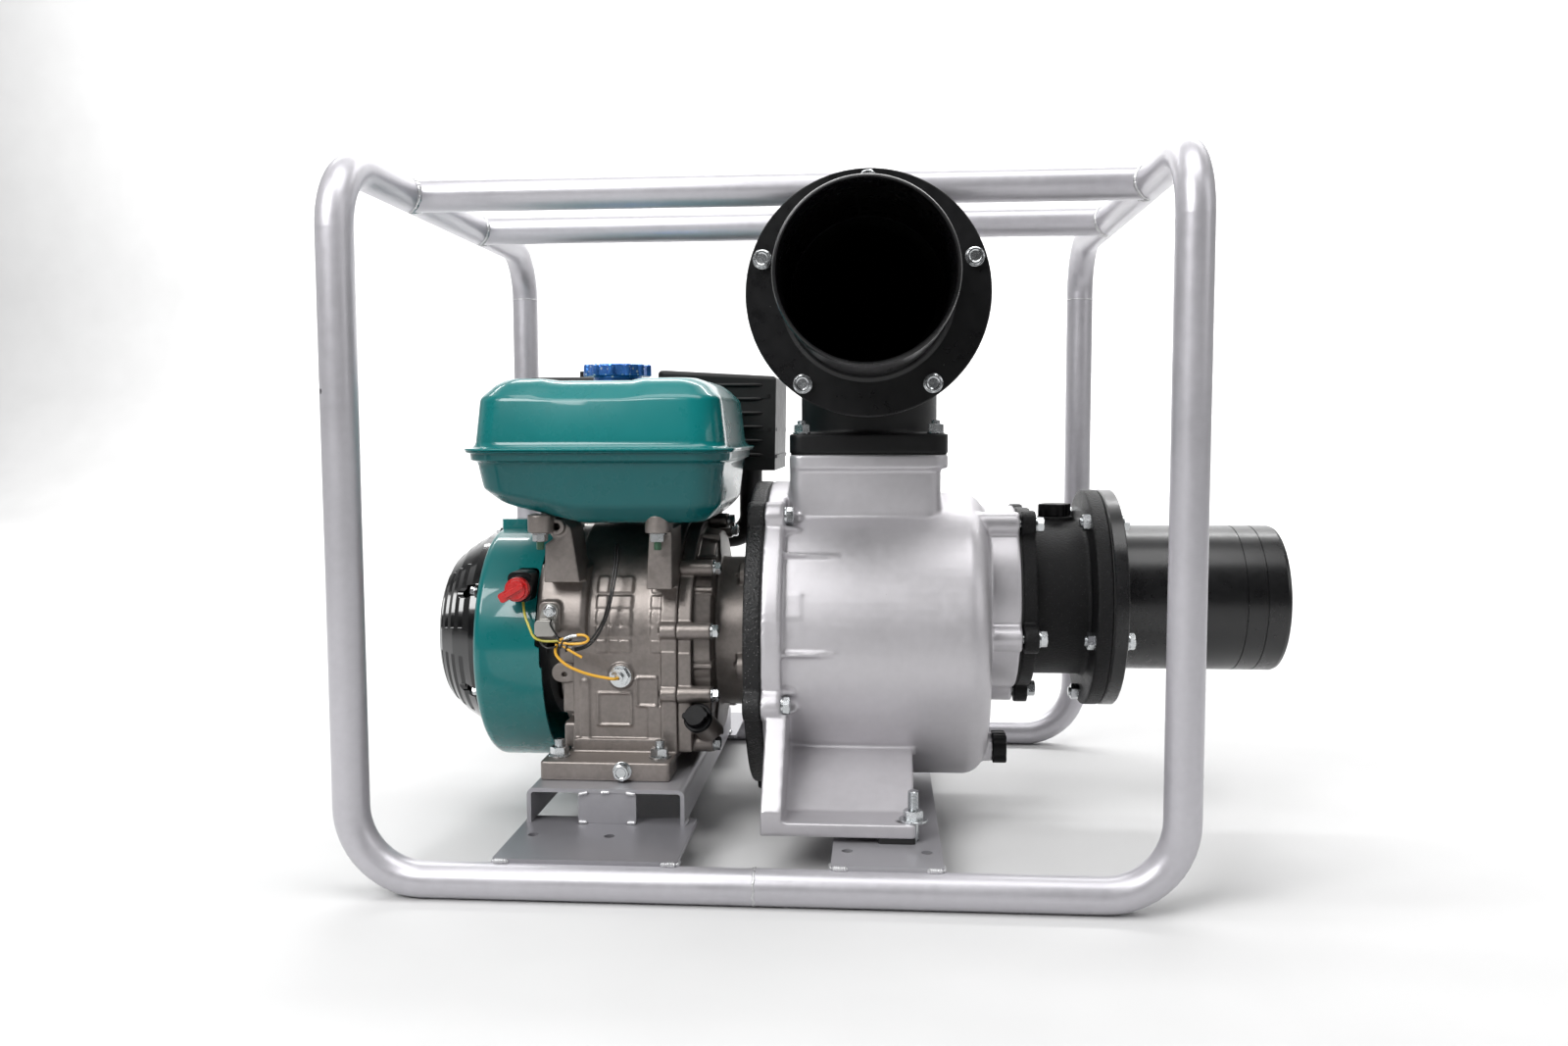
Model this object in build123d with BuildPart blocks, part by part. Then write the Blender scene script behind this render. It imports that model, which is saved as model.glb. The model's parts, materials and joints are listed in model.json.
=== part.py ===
from build123d import *
import os
from math import sin, cos, radians, sqrt, pi, tan

os.makedirs("parts", exist_ok=True)

# ---------------------------------------------------------------------------
# Engine-driven 6 inch water pump in a tube frame.  Millimetres, +Z up.
# Datum used while dimensioning: centre of the frame on the ground, +X towards
# the suction end, -Y towards the discharge side.  DX, DY move that datum so
# that the origin is under the middle of the overall bounding box.
# ---------------------------------------------------------------------------
DX, DY = -70.0, 16.0

TUBE_R, TUBE_WALL = 16.0, 2.0          # 32 mm frame tube
XP, YP = 361.0, 288.0                  # post centres
ZB, ZT = 16.0, 645.2                   # bottom and top tube centre lines
X_JOINT = -2.0                         # butt weld between the two frame loops
R_BOT, R_TOP = 65.0, 60.0              # centre-line bend radii
RAIL_Y = (-113.0, 101.0)               # top rails

PLATE_Z0, PLATE_T = 32.0, 4.0
CHAN_X = (-232.0, -79.0)
CHAN_Y, CHAN_TOP, CHAN_T = 187.0, 70.0, 4.0

AXZ = 195.0                            # crank and impeller axis height
CYL_TILT = 25.0                        # cylinder above horizontal, towards +Y
BORE_R, THROW = 44.0, 32.0

HOSE_R, HOSE_RI = 76.0, 72.5           # 6 inch hose tails
FL_R, FL_PCR = 114.0, 103.0            # round hose flanges
SUC_Z = 234.0                          # suction axis height
ELB_X, ELB_Z = 94.5, 538.0             # discharge elbow axis
MOUTH_Y, STUB_X = -336.0, 517.0
ANG5 = (54, 126, 198, 270, 342)        # five-bolt flanges across X
ANG5F = (18, 90, 162, 234, 306)        # five-bolt flanges across Y


def yz(x, y=0.0, z=AXZ):
    """sketch plane facing +X, local x = +Y, local y = +Z, centred on the shaft"""
    return Plane(origin=(x + DX, y + DY, z), x_dir=(0, 1, 0), z_dir=(1, 0, 0))


def xz(y, x=0.0, z=0.0):
    """sketch plane facing -Y, local x = +X, local y = +Z"""
    return Plane(origin=(x + DX, y + DY, z), x_dir=(1, 0, 0), z_dir=(0, -1, 0))


def xy(z, x=0.0, y=0.0):
    """sketch plane facing +Z"""
    return Plane(origin=(x + DX, y + DY, z))


def V(x, y, z):
    return (x + DX, y + DY, z)


def pol(r, a):
    return (r * cos(radians(a)), r * sin(radians(a)))


# ---------------------------------------------------------------- frame ----
def loop_points(s):
    return [V(X_JOINT, -YP, ZB), V(s * XP, -YP, ZB), V(s * XP, -YP, ZT),
            V(s * XP, YP, ZT), V(s * XP, YP, ZB), V(X_JOINT, YP, ZB)]


with BuildPart() as frame_loop_left:
    with BuildLine() as path_left:
        FilletPolyline(*loop_points(-1), radius=[R_BOT, R_TOP, R_TOP, R_BOT])
    with BuildSketch(Plane(origin=path_left.line @ 0, z_dir=path_left.line % 0)):
        Circle(TUBE_R)
        Circle(TUBE_R - TUBE_WALL, mode=Mode.SUBTRACT)
    sweep()
    # small drain hole low on the outside of the front post
    with BuildSketch(Plane(origin=V(-XP - 9, -YP - 9, 446), z_dir=(-1, -1, 0))):
        Circle(2.6)
    extrude(amount=12, both=True, mode=Mode.SUBTRACT)
frame_loop_left.part.label = "frame_loop_left"
export_step(frame_loop_left.part, "parts/frame_loop_left.step")

with BuildPart() as frame_loop_right:
    with BuildLine() as path_right:
        FilletPolyline(*loop_points(1), radius=[R_BOT, R_TOP, R_TOP, R_BOT])
    with BuildSketch(Plane(origin=path_right.line @ 0, z_dir=path_right.line % 0)):
        Circle(TUBE_R)
        Circle(TUBE_R - TUBE_WALL, mode=Mode.SUBTRACT)
    sweep()
frame_loop_right.part.label = "frame_loop_right"
export_step(frame_loop_right.part, "parts/frame_loop_right.step")

with BuildPart() as top_rails:
    # two rails coped onto the top cross tubes
    for ry in RAIL_Y:
        with BuildSketch(yz(-XP + 5, ry, ZT)):
            Circle(TUBE_R)
            Circle(TUBE_R - TUBE_WALL, mode=Mode.SUBTRACT)
        extrude(amount=2 * XP - 10)
    for s in (-1, 1):
        with BuildSketch(xz(-200, s * XP, ZT)):
            Circle(TUBE_R + 0.1)
        extrude(amount=-400, mode=Mode.SUBTRACT)
top_rails.part.label = "top_rails"
export_step(top_rails.part, "parts/top_rails.step")

with BuildPart() as engine_base_plates:
    for s in (-1, 1):
        with BuildSketch(xy(PLATE_Z0, -152.5, s * (165 + YP) / 2)):
            RectangleRounded(165, YP - 165, 3)
        extrude(amount=PLATE_T)
        with BuildSketch(xy(PLATE_Z0)):
            with Locations((-216, s * 222), (-144, s * 222)):
                Circle(5)
        extrude(amount=PLATE_T, mode=Mode.SUBTRACT)
engine_base_plates.part.label = "engine_base_plates"
export_step(engine_base_plates.part, "parts/engine_base_plates.step")

with BuildPart() as pump_base_plate:
    with BuildSketch(xy(PLATE_Z0, 113)):
        RectangleRounded(98, 2 * YP, 3)
        with GridLocations(71, 2 * 248, 2, 2):
            Circle(5, mode=Mode.SUBTRACT)
        with GridLocations(1, 2 * 214, 1, 2):
            with Locations((24, 0)):
                Circle(5.5, mode=Mode.SUBTRACT)
    extrude(amount=PLATE_T)
pump_base_plate.part.label = "pump_base_plate"
export_step(pump_base_plate.part, "parts/pump_base_plate.step")

CX0, CX1 = CHAN_X
with BuildPart() as engine_channel:
    with BuildSketch(xz(CHAN_Y)):
        with BuildLine():
            Polyline((CX0, 36), (CX0, CHAN_TOP), (CX1, CHAN_TOP), (CX1, 36),
                     (CX1 - CHAN_T, 36), (CX1 - CHAN_T, CHAN_TOP - CHAN_T),
                     (CX0 + CHAN_T, CHAN_TOP - CHAN_T), (CX0 + CHAN_T, 36), close=True)
        make_face()
    extrude(amount=2 * CHAN_Y)
    fillet(engine_channel.edges().filter_by(Axis.Y).group_by(Axis.Z)[-1], 7)
    fillet(engine_channel.edges().filter_by(Axis.Y).filter_by(
        lambda e: abs(e.center().Z - (CHAN_TOP - CHAN_T)) < 0.1), 3)
    with BuildSketch(xy(CHAN_TOP - 10)):
        with Locations((-212, -138), (-111, -138), (-212, 78), (-111, 78)):
            Circle(5.5)
    extrude(amount=20, mode=Mode.SUBTRACT)
    # closing gussets at both ends
    for s in (-1, 1):
        with BuildSketch(xz(s * (CHAN_Y - 3), -154, 51)):
            Rectangle(56, 29.8)
        extrude(amount=2, both=True)
engine_channel.part.label = "engine_channel"
export_step(engine_channel.part, "parts/engine_channel.step")


# ------------------------------------------------------------- fasteners ----
def hexa(r_af):
    """hexagon sketch by half the width across flats"""
    return RegularPolygon(radius=r_af, side_count=6, major_radius=False)


with BuildPart() as foot_bolts:
    for bx, by in ((-212, -138), (-111, -138), (-212, 78), (-111, 78)):
        with BuildSketch(xy(CHAN_TOP - CHAN_T - 6.4, bx, by)):
            hexa(8)
        extrude(amount=6.4)
        with BuildSketch(xy(CHAN_TOP - CHAN_T, bx, by)):
            Circle(5)
        extrude(amount=40)
        with BuildSketch(xy(88.6, bx, by)):
            Circle(11)
        extrude(amount=2)
        with BuildSketch(xy(90.6, bx, by)):
            hexa(8)
        extrude(amount=8)
    for s in (-1, 1):
        with BuildSketch(xy(PLATE_Z0 - 6.4, 137, s * 214)):
            hexa(8)
        extrude(amount=6.4)
        with BuildSketch(xy(PLATE_Z0, 137, s * 214)):
            Circle(5)
        extrude(amount=50)
        with BuildSketch(xy(54, 137, s * 214)):
            Circle(13)
        extrude(amount=2.2)
        with BuildSketch(xy(56.2, 137, s * 214)):
            hexa(8)
        extrude(amount=8)
foot_bolts.part.label = "foot_bolts"
export_step(foot_bolts.part, "parts/foot_bolts.step")


# --------------------------------------------------------------- engine ----
CT = CYL_TILT
ca, sa = cos(radians(CT)), sin(radians(CT))


def cyl_plane(d):
    """plane square to the cylinder axis at distance d from the crank axis;
    local x = +X of the engine, local y = across the cylinder, upwards"""
    return Plane(origin=V(-150, d * ca, AXZ + d * sa), x_dir=(1, 0, 0), z_dir=(0, ca, sa))


CASE_X = (-202.0, -96.0)
with BuildPart(mode=Mode.PRIVATE) as case_pads:
    # raised rectangular pads cast on the front wall, cut to the wall's curve
    with BuildSketch(xz(-40)):
        for px0, px1 in ((-178, -167.5), (-165, -154.5), (-153, -143), (-122.5, -113)):
            for pz0, pz1 in ((190, 202), (204.5, 216.5), (219, 231), (233.5, 246), (249, 264)):
                with Locations(((px0 + px1) / 2, (pz0 + pz1) / 2)):
                    RectangleRounded(px1 - px0, pz1 - pz0, 1.2)
    extrude(amount=90)
    with BuildSketch(yz(-190)):
        Circle(119.6)
        with Locations((-100, -60)):
            Rectangle(39.2, 120)
    extrude(amount=80, mode=Mode.INTERSECT)

with BuildPart() as crankcase:
    # crank chamber
    with BuildSketch(yz(CASE_X[0])):
        Circle(118)
        with BuildLine():
            Polyline((-118, 0), (-118, -106.4), (40, -106.4), (44, -84), (75, -60), (75, 0), close=True)
        make_face()
    extrude(amount=CASE_X[1] - CASE_X[0])
    # cylinder barrel, square with cooling fins
    with BuildSketch(cyl_plane(20)):
        RectangleRounded(104, 112, 14)
    extrude(amount=158)
    for k in range(7):
        with BuildSketch(cyl_plane(124 + 7.5 * k)):
            RectangleRounded(118, 130, 10)
        extrude(amount=3)
    with BuildSketch(cyl_plane(170)):
        RectangleRounded(122, 124, 16)
    extrude(amount=8)
    # mounting foot with its four bolt lugs
    with BuildSketch(xy(70)):
        with Locations((-161.5, -139.5)):
            RectangleRounded(129, 43, 4)
        with Locations((-161.5, 76)):
            RectangleRounded(129, 42, 4)
        with Locations((-155, -20)):
            Rectangle(104, 230)
    extrude(amount=18.6)
    # step between foot and front wall
    with BuildSketch(xz(-122, -150, 93)):
        RectangleRounded(104, 18, 3)
    extrude(amount=-12)
    # flywheel-side housing rim: bulge on the front, upper left
    with BuildSketch(yz(-239)):
        with BuildLine():
            l1 = Line(pol(60, 178), pol(112, 178))
            l2 = RadiusArc(l1 @ 1, pol(127, 170), 22)
            l3 = RadiusArc(l2 @ 1, pol(127, 144), 127)
            l4 = RadiusArc(l3 @ 1, pol(108, 134), 24)
            l5 = Line(l4 @ 1, pol(60, 134))
            Line(l5 @ 1, l1 @ 0)
        make_face()
    extrude(amount=52)
    fillet(crankcase.edges().filter_by(GeomType.CIRCLE).filter_by(
        lambda e: abs(e.radius - 127) < 0.01), 7)
    # room for the flywheel inside the barrel
    with BuildSketch(yz(-240)):
        Circle(97)
    extrude(amount=8, mode=Mode.SUBTRACT)
    # seat of the wire clip
    with BuildSketch(xz(-108, -223, 226)):
        RectangleRounded(22, 32, 6)
    extrude(amount=19.2)
    # flywheel-side face ring
    with BuildSketch(yz(-218)):
        Circle(112)
        Circle(96, mode=Mode.SUBTRACT)
    extrude(amount=18)
    with BuildSketch(yz(-214)):
        with Locations((-98, -52)):
            RectangleRounded(30, 34, 4)
        with Locations((-92, -92)):
            RectangleRounded(36, 26, 4)
    extrude(amount=30)
    # lower left boss
    with BuildSketch(xz(-104, -212, 168)):
        SlotOverall(26, 20)
    extrude(amount=12)
    with BuildSketch(xz(-110, -212, 166)):
        Circle(2.6)
    extrude(amount=10, mode=Mode.SUBTRACT)
    # raised panels low on the front wall
    with BuildSketch(xz(-116)):
        with Locations((-160, 132)):
            RectangleRounded(36, 34, 2)
            RectangleRounded(33, 31, 1.5, mode=Mode.SUBTRACT)
        with Locations((-127, 150)):
            RectangleRounded(22, 30, 2)
            RectangleRounded(19, 27, 1.5, mode=Mode.SUBTRACT)
        with Locations((-120, 118)):
            RectangleRounded(12, 36, 2)
        with Locations((-190, 130)):
            RectangleRounded(9, 64, 4)
    extrude(amount=4)
    add(case_pads.part)
    # boss of the oil level sender
    with BuildSketch(xz(-112, -153, 166)):
        Circle(13)
    extrude(amount=9)
    # rim and bolt bosses of the side cover joint
    with BuildSketch(yz(-112)):
        Circle(121)
        with Locations((-4, -56)):
            Rectangle(236, 104)
        Circle(100, mode=Mode.SUBTRACT)
    extrude(amount=16)
    with BuildSketch(yz(-113)):
        with Locations((-118, 17), (-118, -47), (-93, 78), (-104, -100), (30, 117), (60, 104), (112, -47), (90, -96)):
            Circle(8.5)
    extrude(amount=17)
    # fuel tank arm on the upper left, with its cross boss
    with BuildSketch(xz(-134)):
        with BuildLine():
            Polyline((-237, 312), (-237, 326), (-206, 326), (-198, 316), (-194, 290), (-190, 262),
                     (-226, 262), (-224, 300), (-216, 306), (-220, 312), close=True)
        make_face()
    extrude(amount=-50)
    with BuildSketch(xy(313)):
        with Locations((-225, -148)):
            Circle(12)
        with Locations((-225, -138)):
            Rectangle(24, 20)
    extrude(amount=17.5)
    with BuildSketch(xz(-141, -211, 318)):
        Circle(8)
    extrude(amount=-20)
    with BuildSketch(xz(-142, -211, 318)):
        Circle(3.6)
    extrude(amount=-16, mode=Mode.SUBTRACT)
    # fuel tank pillar on the upper right
    with BuildSketch(xz(-138)):
        with BuildLine():
            Polyline((-123, 256), (-119, 316), (-97, 316), (-97, 256), close=True)
        make_face()
    extrude(amount=-62)
    with BuildSketch(xy(313)):
        with Locations((-109, -148)):
            Circle(12)
        with Locations((-109, -138)):
            Rectangle(24, 20)
    extrude(amount=17.5)
    # two plain pillars behind
    for bx in (-188, -110):
        with BuildSketch(xy(262, bx, 36)):
            RectangleRounded(24, 18, 4)
        extrude(amount=59.6)
    # ---- openings inside
    with BuildSketch(yz(-190)):
        Circle(108)
        with BuildLine():
            Polyline((-109, -2), (-109, -98), (34, -98), (36, -80), (66, -56), (66, -2), close=True)
        make_face()
    extrude(amount=100, mode=Mode.SUBTRACT)
    with BuildSketch(xy(88.6)):
        with Locations((-212, -138), (-111, -138), (-212, 78), (-111, 78)):
            Circle(12)
    extrude(amount=19, mode=Mode.SUBTRACT)
    with BuildSketch(cyl_plane(60)):
        Circle(BORE_R)
    extrude(amount=130, mode=Mode.SUBTRACT)
    with BuildSketch(yz(-240)):
        Circle(40)
    extrude(amount=60, mode=Mode.SUBTRACT)
    with BuildSketch(xy(60)):
        with Locations((-212, -138), (-111, -138), (-212, 78), (-111, 78)):
            Circle(5.5)
    extrude(amount=40, mode=Mode.SUBTRACT)
    with BuildSketch(xy(300)):
        with Locations((-225, -148), (-109, -148)):
            Circle(4)
    extrude(amount=40, mode=Mode.SUBTRACT)
    with BuildSketch(xy(290)):
        with Locations((-225, -148), (-109, -148)):
            Circle(10)
    extrude(amount=22.8, mode=Mode.SUBTRACT)
    # drain bolt and sender bores
    with BuildSketch(xz(-164, -144, 80.6)):
        Circle(5)
    extrude(amount=-30, mode=Mode.SUBTRACT)
    with BuildSketch(xz(-124, -153, 166)):
        Circle(8)
    extrude(amount=-30, mode=Mode.SUBTRACT)
    with BuildSketch(yz(-114)):
        with Locations((-118, 17), (-118, -47), (-93, 78), (-104, -100), (30, 117), (60, 104), (112, -47), (90, -96)):
            Circle(4)
    extrude(amount=20, mode=Mode.SUBTRACT)
crankcase.part.label = "crankcase"
export_step(crankcase.part, "parts/crankcase.step")
print("crankcase", len(crankcase.solids()), crankcase.part.is_valid)

COVER_BOLTS = ((-118, 17), (-118, -47), (-93, 78), (-104, -100), (30, 117), (60, 104), (112, -47), (90, -96))
with BuildPart() as crankcase_side_cover:
    with BuildSketch(yz(-95.6)):
        Circle(119)
        with Locations((-4, -56)):
            Rectangle(232, 100)
        with Locations(*COVER_BOLTS):
            Circle(8.5)
    extrude(amount=14)
    with BuildSketch(yz(-81.6)):
        Circle(112)
        with Locations((-4, -54)):
            Rectangle(206, 90)
    extrude(amount=18, taper=12)
    # ribs running along the shaft and the long bolt bosses
    with BuildSketch(yz(-81.6)):
        with Locations(*COVER_BOLTS):
            Circle(8.5)
        for a in (150, 170, 190, 210, 230, 130, 110):
            with Locations(Location(pol(100, a) + (0,), (0, 0, a))):
                Rectangle(30, 5)
    extrude(amount=20)
    # flange that carries the pump
    with BuildSketch(yz(-64)):
        Circle(80)
    extrude(amount=30)
    with BuildSketch(yz(-40)):
        Circle(80)
        for a in ANG5:
            with Locations(pol(82, a)):
                Circle(13)
    extrude(amount=14)
    # slanted oil filler neck
    with BuildSketch(Plane(origin=V(-64, -96, 104), x_dir=(1, 0, 0), z_dir=(-0.22, -0.82, 0.53))):
        Circle(13)
    extrude(amount=40)
    # openings
    with BuildSketch(yz(-100)):
        Circle(104)
        with Locations((-20, -52)):
            Rectangle(160, 84)
    extrude(amount=26, mode=Mode.SUBTRACT)
    with BuildSketch(yz(-100)):
        Circle(24)
    extrude(amount=90, mode=Mode.SUBTRACT)
    with BuildSketch(yz(-100)):
        Circle(40)
    extrude(amount=50, mode=Mode.SUBTRACT)
    with BuildSketch(yz(-38)):
        Circle(56)
    extrude(amount=20, mode=Mode.SUBTRACT)
    with BuildSketch(yz(-100)):
        with Locations(*COVER_BOLTS):
            Circle(4)
    extrude(amount=60, mode=Mode.SUBTRACT)
    with BuildSketch(Plane(origin=V(-64, -96, 104), x_dir=(1, 0, 0), z_dir=(-0.22, -0.82, 0.53)).offset(4)):
        Circle(8.2)
    extrude(amount=50, mode=Mode.SUBTRACT)
    with BuildSketch(yz(-61.6)):
        with Locations(*COVER_BOLTS):
            Circle(9)
    extrude(amount=12, mode=Mode.SUBTRACT)
    with BuildSketch(yz(-44)):
        with Locations(*[pol(82, a) for a in ANG5]):
            Circle(4.2)
    extrude(amount=30, mode=Mode.SUBTRACT)
    with BuildSketch(cyl_plane(123.5)):
        RectangleRounded(132, 140, 10)
    extrude(amount=60, mode=Mode.SUBTRACT)
crankcase_side_cover.part.label = "crankcase_side_cover"
export_step(crankcase_side_cover.part, "parts/crankcase_side_cover.step")
print("cover", len(crankcase_side_cover.solids()), crankcase_side_cover.part.is_valid)

with BuildPart() as engine_cover_bolts:
    # side cover
    for p in COVER_BOLTS:
        with BuildSketch(yz(-110)):
            with Locations(p):
                Circle(3.9)
        extrude(amount=48.5)
        with BuildSketch(yz(-61.6)):
            with Locations(p):
                Circle(8)
        extrude(amount=1.6)
        with BuildSketch(yz(-60.0)):
            with Locations(p):
                hexa(6)
        extrude(amount=6)
    # recoil cover
    for a in (30, 90, 150, 210, 270, 330):
        with BuildSketch(yz(-310.6)):
            with Locations(pol(103, a)):
                Circle(6.5)
        extrude(amount=1.5)
        with BuildSketch(yz(-315)):
            with Locations(pol(103, a)):
                hexa(4.9)
        extrude(amount=4.5)
    # wire clip
    with BuildSketch(xz(-134.3, -220.5, 233)):
        Circle(6.5)
    extrude(amount=1.4)
    with BuildSketch(xz(-135.7, -220.5, 233)):
        hexa(4.6)
    extrude(amount=4)
    # tank studs and nuts
    for bx, bz in ((-225, 304.2), (-109, 304.2)):
        with BuildSketch(xy(bz, bx, -148)):
            hexa(6.5)
        extrude(amount=7)
        with BuildSketch(xy(bz + 7, bx, -148)):
            Circle(9)
        extrude(amount=1.6)
        with BuildSketch(xy(bz - 8, bx, -148)):
            Circle(3.9)
        extrude(amount=35.2)
engine_cover_bolts.part.label = "engine_cover_bolts"
export_step(engine_cover_bolts.part, "parts/engine_cover_bolts.step")

with BuildPart() as oil_drain_bolt:
    with BuildSketch(xz(-161)):
        with Locations((-144, 80.6)):
            Circle(9.5)
    extrude(amount=2)
    with BuildSketch(xz(-163)):
        with Locations((-144, 80.6)):
            hexa(8)
    extrude(amount=7)
    with BuildSketch(xz(-144)):
        with Locations((-144, 80.6)):
            Circle(4.9)
    extrude(amount=18)
oil_drain_bolt.part.label = "oil_drain_bolt"
export_step(oil_drain_bolt.part, "parts/oil_drain_bolt.step")

with BuildPart() as oil_level_sender:
    with BuildSketch(xz(-121.1)):
        with Locations((-153, 166)):
            Circle(11)
    extrude(amount=1.6)
    with BuildSketch(xz(-122.7)):
        with Locations((-153, 166)):
            hexa(8.5)
    extrude(amount=5)
    with BuildSketch(xz(-127.7)):
        with Locations((-153, 166)):
            Circle(4.2)
            Circle(1.6, mode=Mode.SUBTRACT)
    extrude(amount=5)
    with BuildSketch(xz(-96)):
        with Locations((-153, 166)):
            Circle(7.9)
    extrude(amount=25.1)
oil_level_sender.part.label = "oil_level_sender"
export_step(oil_level_sender.part, "parts/oil_level_sender.step")

with BuildPart() as cylinder_head:
    with BuildSketch(cyl_plane(179)):
        RectangleRounded(122, 122, 12)
    extrude(amount=10)
    with BuildSketch(cyl_plane(189)):
        RectangleRounded(96, 104, 12)
    extrude(amount=36)
    for k in range(4):
        with BuildSketch(cyl_plane(194 + 7.5 * k)):
            RectangleRounded(124, 122, 8)
        extrude(amount=3)
    with BuildSketch(cyl_plane(222)):
        RectangleRounded(112, 112, 12)
    extrude(amount=6)
    # intake port towards the fan side, exhaust port towards the pump side
    with BuildSketch(Plane(cyl_plane(206).origin, x_dir=(0, 1, 0), z_dir=(1, 0, 0))):
        Circle(21)
    extrude(amount=62, both=True)
    with BuildSketch(Plane(cyl_plane(206).origin, x_dir=(0, 1, 0), z_dir=(1, 0, 0))):
        Circle(12)
    extrude(amount=64, both=True, mode=Mode.SUBTRACT)
    # spark plug seat, looking down and back
    with BuildSketch(Plane(origin=cyl_plane(206).origin, x_dir=(1, 0, 0), z_dir=(0, sa, -ca))):
        Circle(7.1)
    extrude(amount=70, mode=Mode.SUBTRACT)
    with BuildSketch(Plane(origin=cyl_plane(206).origin, x_dir=(1, 0, 0), z_dir=(0, sa, -ca)).offset(52)):
        Circle(15)
    extrude(amount=20, mode=Mode.SUBTRACT)
    # combustion chamber
    with BuildSketch(cyl_plane(178)):
        Circle(36)
    extrude(amount=9, mode=Mode.SUBTRACT)
cylinder_head.part.label = "cylinder_head"
export_step(cylinder_head.part, "parts/cylinder_head.step")

with BuildPart() as rocker_cover:
    with BuildSketch(cyl_plane(229)):
        RectangleRounded(110, 110, 12)
    extrude(amount=4)
    with BuildSketch(cyl_plane(233)):
        RectangleRounded(92, 92, 14)
    extrude(amount=26, taper=6)
    fillet(rocker_cover.faces().sort_by(Axis((0, 0, 0), (0, ca, sa)))[-1].edges(), 6)
    with BuildSketch(cyl_plane(229)):
        RectangleRounded(86, 86, 11)
    extrude(amount=27, taper=6, mode=Mode.SUBTRACT)
    with BuildSketch(cyl_plane(233)):
        with GridLocations(100, 100, 2, 2):
            hexa(4)
    extrude(amount=4)
rocker_cover.part.label = "rocker_cover"
export_step(rocker_cover.part, "parts/rocker_cover.step")

with BuildPart() as spark_plug:
    sp = Plane(origin=cyl_plane(206).origin, x_dir=(1, 0, 0), z_dir=(0, sa, -ca))
    with BuildSketch(sp.offset(24)):
        Circle(7.0)
    extrude(amount=28)
    with BuildSketch(sp.offset(52)):
        hexa(10)
    extrude(amount=9)
    with BuildSketch(sp.offset(61)):
        Circle(6)
    extrude(amount=16, taper=4)
    with BuildSketch(sp.offset(77)):
        Circle(3)
    extrude(amount=8)
spark_plug.part.label = "spark_plug"
export_step(spark_plug.part, "parts/spark_plug.step")

# ---- fan housing, a scroll around the flywheel ----------------------------
SCROLL = ((90, 112), (135, 117), (180, 122), (225, 131), (270, 138), (315, 139), (0, 140), (35, 142), (62, 126))


def scroll_face(off):
    with BuildSketch(mode=Mode.PRIVATE) as sk:
        with BuildLine():
            Spline(*[pol(r + off, a) for a, r in SCROLL], periodic=True)
        make_face()
    return sk.sketch


with BuildPart() as fan_shroud:
    with BuildSketch(yz(-306)):
        add(scroll_face(0))
    extrude(amount=72)
    fillet(fan_shroud.faces().sort_by(Axis.X)[0].edges(), 9)
    with BuildSketch(yz(-303.5)):
        add(scroll_face(-3))
    extrude(amount=75, mode=Mode.SUBTRACT)
    with BuildSketch(yz(-310)):
        Circle(97)
    extrude(amount=10, mode=Mode.SUBTRACT)
    # small lug on top
    with BuildSketch(xy(305, -287, -12)):
        RectangleRounded(30, 22, 4)
    extrude(amount=12)
    # cut-out of the right edge under the switch
    with BuildSketch(xz(-40, -229, 190)):
        RectangleRounded(14, 34, 3)
    extrude(amount=120, mode=Mode.SUBTRACT)
    # and round the barrel of the crankcase
    with BuildSketch(xz(-40, -230.5, 246)):
        RectangleRounded(20, 104, 4)
    extrude(amount=120, mode=Mode.SUBTRACT)
    # seat of the stop switch
    with BuildSketch(xz(-40, -254, 256)):
        RectangleRounded(24.8, 30.8, 6)
    extrude(amount=120, mode=Mode.SUBTRACT)
fan_shroud.part.label = "fan_shroud"
export_step(fan_shroud.part, "parts/fan_shroud.step")
print("shroud", len(fan_shroud.solids()), fan_shroud.part.is_valid)

# ---- recoil cover ---------------------------------------------------------
with BuildPart() as recoil_cover:
    with BuildSketch(Plane(origin=V(0, 0, AXZ), x_dir=(1, 0, 0), z_dir=(0, -1, 0))):
        with BuildLine():
            Polyline((-306.2, 90), (-306.2, 107), (-314, 106.5), (-335, 94), (-350, 82), (-355, 75),
                     (-355, 0), (-352.4, 0), (-352.4, 74), (-348, 80), (-333.5, 91.5), (-313, 103.5),
                     (-309, 103.5), (-309, 90), close=True)
        make_face()
    revolve(axis=Axis(V(0, 0, AXZ), (1, 0, 0)))
    # bolt lugs
    with BuildSketch(yz(-309)):
        for a in (30, 90, 150, 210, 270, 330):
            with Locations(pol(103, a)):
                Circle(9)
    extrude(amount=2.8)
    # cooling slots: six groups of curved louvres on the flank and a rim row
    with BuildSketch(yz(-362)):
        for k in range(6):
            for rr in (80.5, 87, 93.5, 100):
                with BuildLine():
                    c = CenterArc((0, 0), rr, 60 * k + 9, 42)
                    offset(amount=1.7)
                make_face()
    extrude(amount=60, mode=Mode.SUBTRACT)
    with BuildSketch(yz(-362)):
        with PolarLocations(68, 36):
            RectangleRounded(7, 5, 1)
    extrude(amount=20, mode=Mode.SUBTRACT)
    with BuildSketch(yz(-345)):
        for a in (30, 90, 150, 210, 270, 330):
            with Locations(pol(103, a)):
                Circle(7.2)
    extrude(amount=36, mode=Mode.SUBTRACT)
    # spindle of the rope reel and a hole for the rope at the back
    with BuildSketch(yz(-352.6)):
        Circle(7.8)
    extrude(amount=38)
    # seat of the pull grip
    with BuildSketch(Plane(origin=V(-330, 92, AXZ + 30), x_dir=(1, 0, 0), z_dir=(0, 0.94, 0.34))):
        RectangleRounded(24, 34, 6)
    extrude(amount=26)
    with BuildSketch(Plane(origin=V(-330, 92, AXZ + 30), x_dir=(1, 0, 0), z_dir=(0, 0.94, 0.34)).offset(-30)):
        Circle(5)
    extrude(amount=60, mode=Mode.SUBTRACT)
recoil_cover.part.label = "recoil_cover"
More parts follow.
